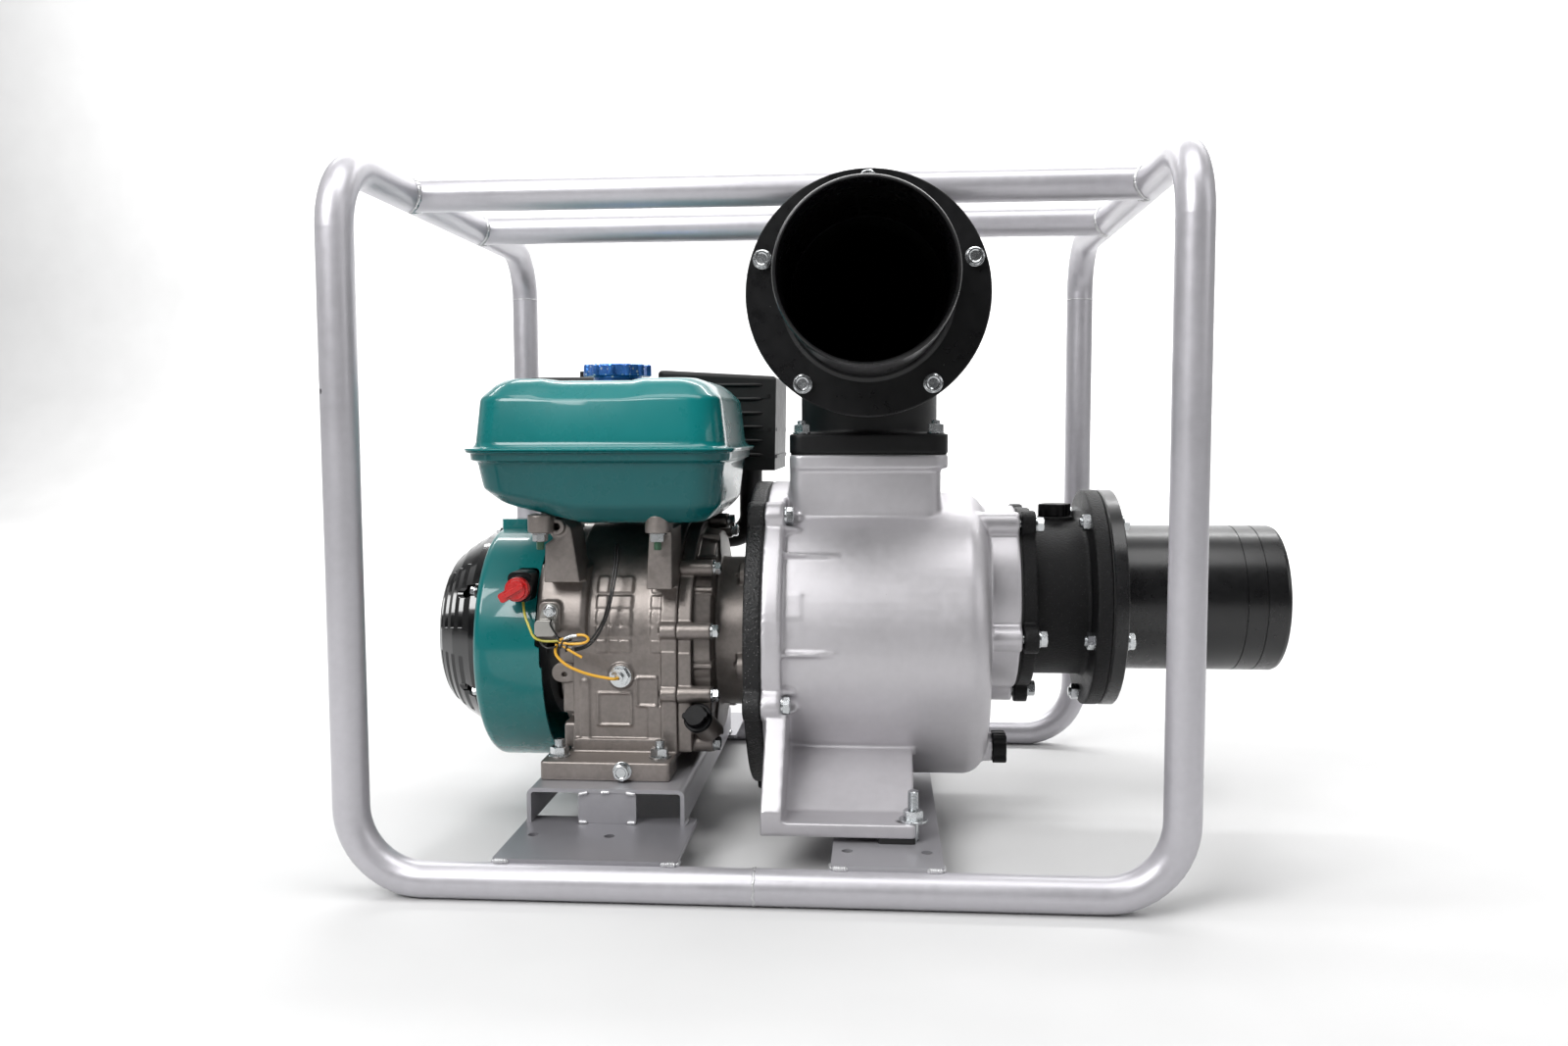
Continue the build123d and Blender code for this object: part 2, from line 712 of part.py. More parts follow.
export_step(recoil_cover.part, "parts/recoil_cover.step")
print("recoil", len(recoil_cover.solids()), recoil_cover.part.is_valid)


# rope reel on the recoil spindle, with its rope groove
with BuildPart() as recoil_reel:
    with BuildSketch(Plane(origin=V(0, 0, AXZ), x_dir=(1, 0, 0), z_dir=(0, -1, 0))):
        with BuildLine():
            Polyline((-345, 7.86), (-345, 60), (-342, 60), (-342, 48), (-335, 48), (-335, 60), (-332, 60),
                     (-332, 26), (-318, 26), (-318, 7.86), close=True)
        make_face()
    revolve(axis=Axis(V(0, 0, AXZ), (1, 0, 0)))
    # starter pawls
    with BuildSketch(yz(-332)):
        for a in (0, 180):
            with Locations(pol(33, a + 20)):
                RectangleRounded(14, 8, 2)
    extrude(amount=9)
recoil_reel.part.label = "recoil_reel"
export_step(recoil_reel.part, "parts/recoil_reel.step")

GRIP_PL = Plane(origin=V(-330, 92, AXZ + 30), x_dir=(1, 0, 0), z_dir=(0, 0.94, 0.34))
with BuildPart() as recoil_grip:
    with BuildSketch(GRIP_PL.offset(26.2)):
        SlotOverall(80, 20, rotation=90)
    extrude(amount=16)
    fillet(recoil_grip.faces().sort_by(Axis((0, 0, 0), (0, 0.94, 0.34)))[-1].edges(), 6)
    with BuildSketch(GRIP_PL.offset(8)):
        Circle(4.6)
    extrude(amount=20)
recoil_grip.part.label = "recoil_grip"
export_step(recoil_grip.part, "parts/recoil_grip.step")

# ---- rotating group -------------------------------------------------------
def gear_face(teeth, mod, bore, turn):
    """spur gear outline with slim straight-sided teeth"""
    rp = teeth * mod / 2
    with BuildSketch(mode=Mode.PRIVATE) as sk:
        Circle(rp - 1.3 * mod)
        half = 90.0 / teeth
        for i in range(teeth):
            a = turn + 360.0 * i / teeth
            with BuildLine():
                Polyline(pol(rp - 1.5 * mod, a - half * 0.95), pol(rp + 0.85 * mod, a - half * 0.42),
                         pol(rp + 0.85 * mod, a + half * 0.42), pol(rp - 1.5 * mod, a + half * 0.95), close=True)
            make_face()
        if bore:
            Circle(bore, mode=Mode.SUBTRACT)
    return sk.sketch


CAM_A, CAM_D = -62.0, 60.0             # camshaft direction and distance from the crank
with BuildPart() as crankshaft:
    # fan-side journal, taper and thread
    for x0, x1, r in ((-300, -265, 7), (-265, -228, 12), (-228, -178, 17.4), (-178, -161, 30),
                      (-137, -120, 30), (-120, -68, 14), (-68, -10, 13.5), (-10, 62, 12.5), (62, 76, 8)):
        with BuildSketch(yz(x0)):
            Circle(r)
        extrude(amount=x1 - x0)
    # webs with counterweights opposite the crank pin
    for x0 in (-178, -137):
        with BuildSketch(yz(x0)):
            with BuildLine():
                w1 = CenterArc((0, 0), 50, CT + 110, 140)
                Line(w1 @ 1, pol(50, CT - 20))
                w3 = CenterArc((0, 0), 50, CT - 20, 40)
                Line(w3 @ 1, w1 @ 0)
            make_face()
        extrude(amount=17)
    with BuildSketch(yz(-162)):
        with Locations(pol(THROW, CT)):
            Circle(14)
    extrude(amount=26)
    # timing gear
    with BuildSketch(yz(-114)):
        add(gear_face(20, 2.0, 0, CAM_A))
    extrude(amount=9)
crankshaft.part.label = "crankshaft"
export_step(crankshaft.part, "parts/crankshaft.step")
print("crank", len(crankshaft.solids()), crankshaft.part.is_valid)


cam_y, cam_z = pol(CAM_D, CAM_A)
with BuildPart() as camshaft:
    with BuildSketch(yz(-189.5, cam_y, AXZ + cam_z)):
        Circle(7)
    extrude(amount=108)
    with BuildSketch(yz(-114, cam_y, AXZ + cam_z)):
        add(gear_face(40, 2.0, 5, CAM_A + 180 + 4.5))
    extrude(amount=9)
    for cx in (-158, -142):
        with BuildSketch(yz(cx, cam_y, AXZ + cam_z)):
            Circle(8.5)
            with Locations(pol(3, CAM_A if cx < -150 else CAM_A - 50)):
                Circle(6.5)
        extrude(amount=8)
camshaft.part.label = "camshaft"
export_step(camshaft.part, "parts/camshaft.step")

with BuildPart() as flywheel:
    with BuildSketch(yz(-262)):
        Circle(92)
        Circle(12.0, mode=Mode.SUBTRACT)
    extrude(amount=12)
    with BuildSketch(yz(-250)):
        Circle(92)
        Circle(80, mode=Mode.SUBTRACT)
    extrude(amount=14)
    with BuildSketch(yz(-250)):
        Circle(22)
        Circle(12.0, mode=Mode.SUBTRACT)
    extrude(amount=16)
flywheel.part.label = "flywheel"
export_step(flywheel.part, "parts/flywheel.step")

with BuildPart() as cooling_fan:
    with BuildSketch(yz(-265)):
        Circle(92)
        Circle(14, mode=Mode.SUBTRACT)
    extrude(amount=3)
    with BuildSketch(yz(-290)):
        for i in range(16):
            with Locations(Location(pol(74, 22.5 * i) + (0,), (0, 0, 22.5 * i + 24))):
                RectangleRounded(36, 3, 1.2)
    extrude(amount=25.5)
cooling_fan.part.label = "cooling_fan"
export_step(cooling_fan.part, "parts/cooling_fan.step")

with BuildPart() as starter_cup:
    with BuildSketch(Plane(origin=V(0, 0, AXZ), x_dir=(1, 0, 0), z_dir=(0, -1, 0))):
        with BuildLine():
            Polyline((-265, 7.0), (-265, 42), (-312, 46), (-312, 43), (-268, 39), (-268, 7.0), close=True)
        make_face()
    revolve(axis=Axis(V(0, 0, AXZ), (1, 0, 0)))
    with BuildSketch(yz(-268)):
        Circle(7.0)
    extrude(amount=3, mode=Mode.SUBTRACT)
    with BuildSketch(yz(-284)):
        hexa(11)
        Circle(7.0, mode=Mode.SUBTRACT)
    extrude(amount=16)
starter_cup.part.label = "starter_cup"
export_step(starter_cup.part, "parts/starter_cup.step")
print("cup", len(starter_cup.solids()), starter_cup.part.is_valid)

with BuildPart() as main_bearings:
    for x0 in (-189.5, -94):
        with BuildSketch(yz(x0)):
            Circle(39.9)
            Circle(32, mode=Mode.SUBTRACT)
        extrude(amount=11 if x0 < -150 else 18)
        with BuildSketch(yz(x0)):
            Circle(22)
            Circle(17.45 if x0 < -150 else 14.05, mode=Mode.SUBTRACT)
        extrude(amount=11 if x0 < -150 else 18)
        with BuildSketch(yz(x0 + 3)):
            Circle(34)
            Circle(20, mode=Mode.SUBTRACT)
        extrude(amount=6)
main_bearings.part.label = "main_bearings"
export_step(main_bearings.part, "parts/main_bearings.step")
print("bearings", len(main_bearings.solids()), main_bearings.part.is_valid)

with BuildPart() as piston:
    with BuildSketch(cyl_plane(116)):
        Circle(BORE_R - 0.05)
    extrude(amount=56)
    with BuildSketch(cyl_plane(110)):
        Circle(BORE_R - 5)
    extrude(amount=54, mode=Mode.SUBTRACT)
    for k in range(3):
        with BuildSketch(cyl_plane(152 + 5.5 * k)):
            Circle(BORE_R + 1)
            Circle(BORE_R - 3, mode=Mode.SUBTRACT)
        extrude(amount=1.6, mode=Mode.SUBTRACT)
    with BuildSketch(Plane(cyl_plane(142).origin, x_dir=(0, 1, 0), z_dir=(1, 0, 0))):
        Circle(16)
    extrude(amount=43, both=True)
    with BuildSketch(Plane(cyl_plane(142).origin, x_dir=(0, 1, 0), z_dir=(1, 0, 0))):
        Circle(17)
    extrude(amount=11, both=True, mode=Mode.SUBTRACT)
    with BuildSketch(cyl_plane(110)):
        Circle(BORE_R + 20)
        Circle(BORE_R - 0.05, mode=Mode.SUBTRACT)
    extrude(amount=70, mode=Mode.SUBTRACT)
    # wrist pin pressed in
    with BuildSketch(Plane(cyl_plane(142).origin, x_dir=(0, 1, 0), z_dir=(1, 0, 0))):
        Circle(9)
    extrude(amount=38, both=True)
    with BuildSketch(Plane(cyl_plane(142).origin, x_dir=(0, 1, 0), z_dir=(1, 0, 0))):
        Circle(5)
    extrude(amount=50, both=True, mode=Mode.SUBTRACT)
piston.part.label = "piston"
export_step(piston.part, "parts/piston.step")
print("piston", len(piston.solids()), piston.part.is_valid)

with BuildPart() as connecting_rod:
    rod_pl = Plane(cyl_plane(142).origin, x_dir=(0, 1, 0), z_dir=(1, 0, 0))
    with BuildSketch(rod_pl):
        Circle(15)
    extrude(amount=9, both=True)
    with BuildSketch(cyl_plane(48)):
        Rectangle(12, 20)
    extrude(amount=84)
    with BuildSketch(yz(-158)):
        with Locations(Location(pol(58, CT) + (0,), (0, 0, CT))):
            RectangleRounded(18, 42, 5)
    extrude(amount=16)
    # room for the crank pin's full circle
    with BuildSketch(yz(-170)):
        Circle(THROW + 14 + 3)
    extrude(amount=40, mode=Mode.SUBTRACT)
    with BuildSketch(rod_pl):
        Circle(9.05)
    extrude(amount=20, both=True, mode=Mode.SUBTRACT)
connecting_rod.part.label = "connecting_rod"
export_step(connecting_rod.part, "parts/connecting_rod.step")
print("rod", len(connecting_rod.solids()), connecting_rod.part.is_valid)


# --------------------------------------------------------------- fuel tank --
TX, TY = -165.0, -56.0


def tank_rect(z, w, d, r, dx=0.0, dy=0.0):
    with BuildSketch(xy(z, TX + dx, TY + dy), mode=Mode.PRIVATE) as sk:
        RectangleRounded(w, d, r)
    return sk.sketch


with BuildPart() as fuel_tank_upper:
    add(tank_rect(393, 264, 256, 36))
    extrude(amount=2)
    loft([tank_rect(395, 246, 240, 34).face(), tank_rect(443, 234, 230, 32).face(),
          tank_rect(457, 206, 204, 28).face(), tank_rect(463, 186, 186, 22).face()], ruled=True)
    # shallow trough across the top
    with BuildSketch(xy(460.5, -172, -56)):
        Rectangle(88, 200)
    extrude(amount=10, taper=-20, mode=Mode.SUBTRACT)
    with BuildSketch(xy(455, -166, -55)):
        Circle(29)
    extrude(amount=12.8)
    loft([tank_rect(391, 242, 236, 32).face(), tank_rect(442, 230, 226, 30).face(),
          tank_rect(455, 202, 200, 26).face(), tank_rect(458.5, 184, 184, 21).face()], ruled=True, mode=Mode.SUBTRACT)
    with BuildSketch(xy(450, -166, -55)):
        Circle(25)
    extrude(amount=30, mode=Mode.SUBTRACT)
fuel_tank_upper.part.label = "fuel_tank_upper"
export_step(fuel_tank_upper.part, "parts/fuel_tank_upper.step")
print("tank up", len(fuel_tank_upper.solids()), fuel_tank_upper.part.is_valid)

with BuildPart() as fuel_tank_lower:
    add(tank_rect(391, 262, 254, 35))
    extrude(amount=2)
    loft([tank_rect(391, 254, 248, 34).face(), tank_rect(382, 250, 244, 34).face(),
          tank_rect(380, 242, 236, 33).face(), tank_rect(338, 232, 226, 32).face(),
          tank_rect(322, 206, 204, 26).face()], ruled=True)
    # raised floor at the fan end
    with BuildSketch(xz(TY + 200)):
        with BuildLine():
            Polyline((-300, 300), (-300, 347), (-278, 344), (-186, 321.9), (-186, 300), close=True)
        make_face()
    extrude(amount=400, mode=Mode.SUBTRACT)
    loft([tank_rect(395, 250, 244, 33).face(), tank_rect(384, 246, 240, 33).face(),
          tank_rect(381, 238, 232, 32).face(), tank_rect(350, 230, 224, 31).face()], ruled=True, mode=Mode.SUBTRACT)
    loft([tank_rect(350.1, 150, 224, 31, 40).face(), tank_rect(335, 140, 206, 26, 36).face()], ruled=True, mode=Mode.SUBTRACT)
    # recesses over the two front bracket ears
    with BuildSketch(xy(300)):
        with Locations((-225, -148), (-109, -148)):
            Circle(16)
        with Locations((-225, -160), (-109, -160)):
            Rectangle(32, 24)
        with Locations((-225, -142), (-109, -142)):
            Rectangle(28, 32)
    extrude(amount=31.4, mode=Mode.SUBTRACT)
fuel_tank_lower.part.label = "fuel_tank_lower"
export_step(fuel_tank_lower.part, "parts/fuel_tank_lower.step")
print("tank low", len(fuel_tank_lower.solids()), fuel_tank_lower.part.is_valid)

with BuildPart() as fuel_cap:
    with BuildSketch(xy(468, -166, -55)):
        Circle(32.5)
        with PolarLocations(31.5, 12):
            Circle(4.2)
    extrude(amount=12)
    fillet(fuel_cap.faces().sort_by(Axis.Z)[-1].edges(), 1.6)
    with BuildSketch(xy(468, -166, -55)):
        Circle(24.9)
    extrude(amount=-8)
    with BuildSketch(xy(480, -166, -55)):
        Circle(17)
    extrude(amount=-2, mode=Mode.SUBTRACT)
fuel_cap.part.label = "fuel_cap"
export_step(fuel_cap.part, "parts/fuel_cap.step")


# ---------------------------------------------------- exhaust and intake --
with BuildPart() as muffler:
    with BuildSketch(xy(376, -80, 168)):
        RectangleRounded(112, 132, 26)
    extrude(amount=84)
    fillet(muffler.faces().sort_by(Axis.Z)[-1].edges(), 8)
    # pipe to the exhaust port and tail outlet
    with BuildSketch(Plane(origin=V(-84, 206 * ca, AXZ + 206 * sa), x_dir=(0, 1, 0), z_dir=(1, 0, 0))):
        Circle(17)
    extrude(amount=-2)
    with BuildLine() as pipe_path:
        FilletPolyline(V(-86, 206 * ca, AXZ + 206 * sa), V(-52, 206 * ca, AXZ + 206 * sa), V(-52, 206 * ca, 378), radius=[26])
    with BuildSketch(Plane(origin=pipe_path.line @ 0, z_dir=pipe_path.line % 0)):
        Circle(14)
    sweep(path=pipe_path.line)
    with BuildSketch(xz(225, -110, 400)):
        Circle(13)
    extrude(amount=-26)
    with BuildSketch(xz(225, -110, 400)):
        Circle(10)
    extrude(amount=-40, mode=Mode.SUBTRACT)
muffler.part.label = "muffler"
export_step(muffler.part, "parts/muffler.step")
print("muffler", len(muffler.solids()), muffler.part.is_valid)

with BuildPart() as muffler_shield:
    with BuildSketch(xz(86)):
        with BuildLine():
            Polyline((-150, 366), (-150, 482), (-12, 474), (-14, 366), close=True)
        make_face()
    extrude(amount=-162)
    fillet(muffler_shield.edges().filter_by(Axis.Z), 10)
    fillet(muffler_shield.faces().sort_by(Axis.Z)[-1].edges(), 5)
    # pressed ribs round the walls
    for rz in (380, 411, 449):
        with BuildSketch(xy(rz, -81.5, 167)):
            RectangleRounded(140 - (rz - 366) * 0.02, 164, 11)
        extrude(amount=4)
    with BuildSketch(xz(90)):
        with BuildLine():
            Polyline((-146.5, 360), (-146.5, 478), (-16, 470.5), (-17.5, 360), close=True)
        make_face()
    extrude(amount=-154, mode=Mode.SUBTRACT)
    # outlet opening at the back, standoffs under the top
    with BuildSketch(xz(236, -110, 400)):
        Circle(18)
    extrude(amount=-20, mode=Mode.SUBTRACT)
    for sx, sy, sh in ((-120, 130, 18), (-40, 200, 14)):
        with BuildSketch(xy(460.1, sx, sy)):
            Circle(5)
        extrude(amount=sh)
muffler_shield.part.label = "muffler_shield"
export_step(muffler_shield.part, "parts/muffler_shield.step")
print("shield", len(muffler_shield.solids()), muffler_shield.part.is_valid)

with BuildPart() as carburettor:
    # insulator, throttle body, float bowl and elbow up to the air cleaner
    with BuildSketch(Plane(cyl_plane(206).offset(0).origin, x_dir=(0, 1, 0), z_dir=(1, 0, 0)).offset(-70)):
        RectangleRounded(50, 50, 10)
    extrude(amount=7.8)
    with BuildSketch(Plane(cyl_plane(206).origin, x_dir=(0, 1, 0), z_dir=(1, 0, 0)).offset(-118)):
        Circle(21)
    extrude(amount=48)
    with BuildSketch(Plane(cyl_plane(206).origin, x_dir=(0, 1, 0), z_dir=(1, 0, 0)).offset(-106)):
        RectangleRounded(46, 40, 8)
    extrude(amount=26)
    with BuildSketch(xy(232, -244, 206 * ca)):
        Circle(22)
    extrude(amount=30)
    with BuildSketch(xy(229, -244, 206 * ca)):
        hexa(7)
    extrude(amount=4)
    with BuildSketch(Plane(cyl_plane(206).origin, x_dir=(0, 1, 0), z_dir=(1, 0, 0)).offset(-118.5)):
        Circle(12)
    extrude(amount=60, mode=Mode.SUBTRACT)
    with BuildSketch(xz(206 * ca - 17, -246, AXZ + 206 * sa)):
        Circle(2.96)
    extrude(amount=10, mode=Mode.SUBTRACT)
carburettor.part.label = "carburettor"
export_step(carburettor.part, "parts/carburettor.step")
print("carb", len(carburettor.solids()), carburettor.part.is_valid)

CARB_Y, CARB_Z = 206 * ca, AXZ + 206 * sa
with BuildPart() as air_cleaner_base:
    with BuildLine() as elbow_in:
        FilletPolyline(V(-268.2, CARB_Y, CARB_Z), V(-294, CARB_Y, CARB_Z), V(-294, CARB_Y, 392), radius=[24])
    with BuildSketch(Plane(origin=elbow_in.line @ 0, z_dir=elbow_in.line % 0)):
        Circle(22)
    sweep(path=elbow_in.line)
    with BuildSketch(xy(384, -245, 165)):
        RectangleRounded(140, 150, 22)
    extrude(amount=12)
    with BuildSketch(Plane(origin=elbow_in.line @ 0, z_dir=elbow_in.line % 0)):
        Circle(17)
    sweep(path=elbow_in.line, mode=Mode.SUBTRACT)
    with BuildSketch(xy(380, -294, CARB_Y)):
        Circle(17)
    extrude(amount=30, mode=Mode.SUBTRACT)
    with BuildSketch(xy(396, -240, 165)):
        Circle(3.5)
    extrude(amount=84)
    # strut to the cylinder head
    with BuildSketch(xy(342, -188, 150)):
        Rectangle(14, 20)
    extrude(amount=44)
air_cleaner_base.part.label = "air_cleaner_base"
export_step(air_cleaner_base.part, "parts/air_cleaner_base.step")
print("acb", len(air_cleaner_base.solids()), air_cleaner_base.part.is_valid)

with BuildPart() as air_cleaner_cover:
    with BuildSketch(xy(396.1, -245, 165)):
        RectangleRounded(136, 146, 22)
    extrude(amount=78.9, taper=3)
    fillet(air_cleaner_cover.faces().sort_by(Axis.Z)[-1].edges(), 7)
    with BuildSketch(xy(396, -245, 165)):
        RectangleRounded(129, 139, 19)
    extrude(amount=71, taper=3, mode=Mode.SUBTRACT)
    with BuildSketch(xy(460, -240, 165)):
        Circle(3.8)
    extrude(amount=20, mode=Mode.SUBTRACT)
    # wing nut on the cover stud
    with BuildSketch(xy(475.3, -240, 165)):
        Circle(8)
        Circle(3.56, mode=Mode.SUBTRACT)
    extrude(amount=5)
    with BuildSketch(xy(476.5, -240, 165)):
        with GridLocations(24, 1, 2, 1):
            RectangleRounded(14, 4, 1.5)
    extrude(amount=8)
air_cleaner_cover.part.label = "air_cleaner_cover"
export_step(air_cleaner_cover.part, "parts/air_cleaner_cover.step")
print("acc", len(air_cleaner_cover.solids()), air_cleaner_cover.part.is_valid)

with BuildPart() as air_filter_element:
    with BuildSketch(xy(396.2, -240, 165)):
        Circle(48)
        Circle(34, mode=Mode.SUBTRACT)
    extrude(amount=60)
air_filter_element.part.label = "air_filter_element"
export_step(air_filter_element.part, "parts/air_filter_element.step")


# choke lever on the outside of the throttle body
with BuildPart() as choke_lever:
    with BuildSketch(xz(CARB_Y - 23.3, -246, CARB_Z)):
        Circle(6)
        with Locations((-14, 8)):
            SlotOverall(36, 7, rotation=150)
    extrude(amount=3)
    with BuildSketch(xz(CARB_Y - 18.0, -246, CARB_Z)):
        Circle(2.9)
    extrude(amount=5.3)
choke_lever.part.label = "choke_lever"
export_step(choke_lever.part, "parts/choke_lever.step")

# ---------------------------------------------------- switch and wiring ----
SWX, SWY, SWZ = -253.0, -128.0, 255.0
with BuildPart() as stop_switch_body:
    with BuildSketch(xz(-98, -254, 256)):
        RectangleRounded(24, 30, 6)
    extrude(amount=26)
    with BuildSketch(xz(-124, SWX, SWZ)):
        Circle(12.5)
    extrude(amount=6)
    with BuildSketch(xz(-120, SWX, SWZ)):
        Circle(4.05)
    extrude(amount=20, mode=Mode.SUBTRACT)
stop_switch_body.part.label = "stop_switch_body"
export_step(stop_switch_body.part, "parts/stop_switch_body.step")

with BuildPart() as stop_switch_knob:
    with BuildSketch(xz(-130.3, SWX, SWZ)):
        Circle(12)
        with Locations(Location((-9, -5, 0), (0, 0, 30))):
            RectangleRounded(20, 10, 3)
    extrude(amount=8)
    with BuildSketch(xz(-138.3, SWX, SWZ)):
        Circle(9.5)
    extrude(amount=3)
    with BuildSketch(xz(-138.3, SWX, SWZ)):
        with Locations(Location((-2, -1, 0), (0, 0, 30))):
            RectangleRounded(24, 5, 2)
    extrude(amount=6)
    with BuildSketch(xz(-122, SWX, SWZ)):
        Circle(4)
    extrude(amount=9)
stop_switch_knob.part.label = "stop_switch_knob"
export_step(stop_switch_knob.part, "parts/stop_switch_knob.step")

with BuildPart() as wire_clip:
    with BuildSketch(xz(-127.2, -224, 217)):
        RectangleRounded(21, 16, 4)
    extrude(amount=15)
    with BuildSketch(xz(-127.2, -222, 229)):
        SlotOverall(24, 16, rotation=70)
    extrude(amount=7)
    # taped joint of the three wires under the clip
    with BuildSketch(Plane(origin=V(-208.9, -139, 204), x_dir=(0, 1, 0), z_dir=(1, 0, -0.45))):
        Circle(5.4)
    extrude(amount=14)
wire_clip.part.label = "wire_clip"
export_step(wire_clip.part, "parts/wire_clip.step")


def cord_radii(pts):
    """largest tangent radius each corner's two runs allow: 0.45 of the shorter
    run over the tangent of half the turn"""
    out = []
    for a, b, c in zip(pts, pts[1:], pts[2:]):
        u, w = Vector(*b) - Vector(*a), Vector(*c) - Vector(*b)
        turn = radians(u.get_angle(w))
        out.append(round(0.45 * min(u.length, w.length) / tan(turn / 2), 2))
    return out


# routes of the wires held between switch, clip and oil sender
SWITCH_WIRE = [V(-252, -118, 239.8), V(-248.5, -129, 230), V(-241, -136, 217), V(-236.7, -139, 208),
               V(-229, -139.5, 204.3), V(-219.5, -139.3, 203.8), V(-210.0, -139.1, 204.5)]
SENDER_WIRE = [V(-212.4, -140.6, 201.6), V(-214.8, -142.4, 194.5), V(-209.5, -144, 187), V(-201, -145, 180.5),
               V(-188, -144, 174.5), V(-174.5, -141, 170), V(-163, -140, 168), V(-155.5, -139.5, 166.6),
               V(-153.2, -133.1, 166.3)]
HARNESS = [V(-158.5, -104, 298), V(-156.5, -112, 285), V(-158, -120.5, 270), V(-159, -126, 255),
           V(-161.5, -130.5, 240), V(-166, -133.5, 224), V(-174, -135.5, 209), V(-184, -137.5, 197.5),
           V(-195.2, -139, 196)]
for wire_name, pts, wr in (("stop_switch_wire", SWITCH_WIRE, 1.3), ("oil_sender_wire", SENDER_WIRE, 1.5),
                           ("ignition_harness", HARNESS, 2.2)):
    rads = cord_radii(pts)
    print(wire_name, "radii", rads, "diameter", 2 * wr)
    with BuildPart() as wire:
        with BuildLine() as wire_path:
            FilletPolyline(*pts, radius=rads)
        with BuildSketch(Plane(origin=wire_path.line @ 0, z_dir=wire_path.line % 0)):
            Circle(wr)
        sweep()
    wire_len = sum(e.length for e in wire_path.edges())
    print("  length", round(wire_len, 1), "volume", round(wire.part.volume, 1),
          "section x length", round(pi * wr * wr * wire_len, 1))
    wire.part.label = wire_name
    export_step(wire.part, "parts/" + wire_name + ".step")


# slanted filler cap
CAP_PL = Plane(origin=V(-64, -96, 104), x_dir=(1, 0, 0), z_dir=(-0.22, -0.82, 0.53))
with BuildPart() as oil_filler_cap:
    with BuildSketch(CAP_PL.offset(40.3)):
        Circle(14.5)
    extrude(amount=5)
    with BuildSketch(CAP_PL.offset(45.3)):
        Circle(11)
        RectangleRounded(27, 7, 3)
    extrude(amount=8)
    with BuildSketch(CAP_PL.offset(22)):
        Circle(8.12)
    extrude(amount=18.3)
    with BuildSketch(CAP_PL.offset(4.5)):
        Circle(2)
    extrude(amount=18)
oil_filler_cap.part.label = "oil_filler_cap"
export_step(oil_filler_cap.part, "parts/oil_filler_cap.step")

# ----------------------------------------------------------------- pump ----
LUG_R = 161.0
with BuildPart() as pump_adapter:
    with BuildSketch(yz(-26)):
        Circle(162)
        for a in ANG5:
            with Locations(pol(LUG_R, a)):
                Circle(15)
    extrude(amount=17)
    fillet(pump_adapter.faces().sort_by(Axis.X)[0].edges(), 2)
    with BuildSketch(yz(-30)):
        Circle(20)
        with Locations(*[pol(LUG_R, a) for a in ANG5]):
            Circle(5.4)
        with Locations(*[pol(82, a) for a in ANG5]):
            Circle(4.2)
    extrude(amount=40, mode=Mode.SUBTRACT)
pump_adapter.part.label = "pump_adapter"
export_step(pump_adapter.part, "parts/pump_adapter.step")


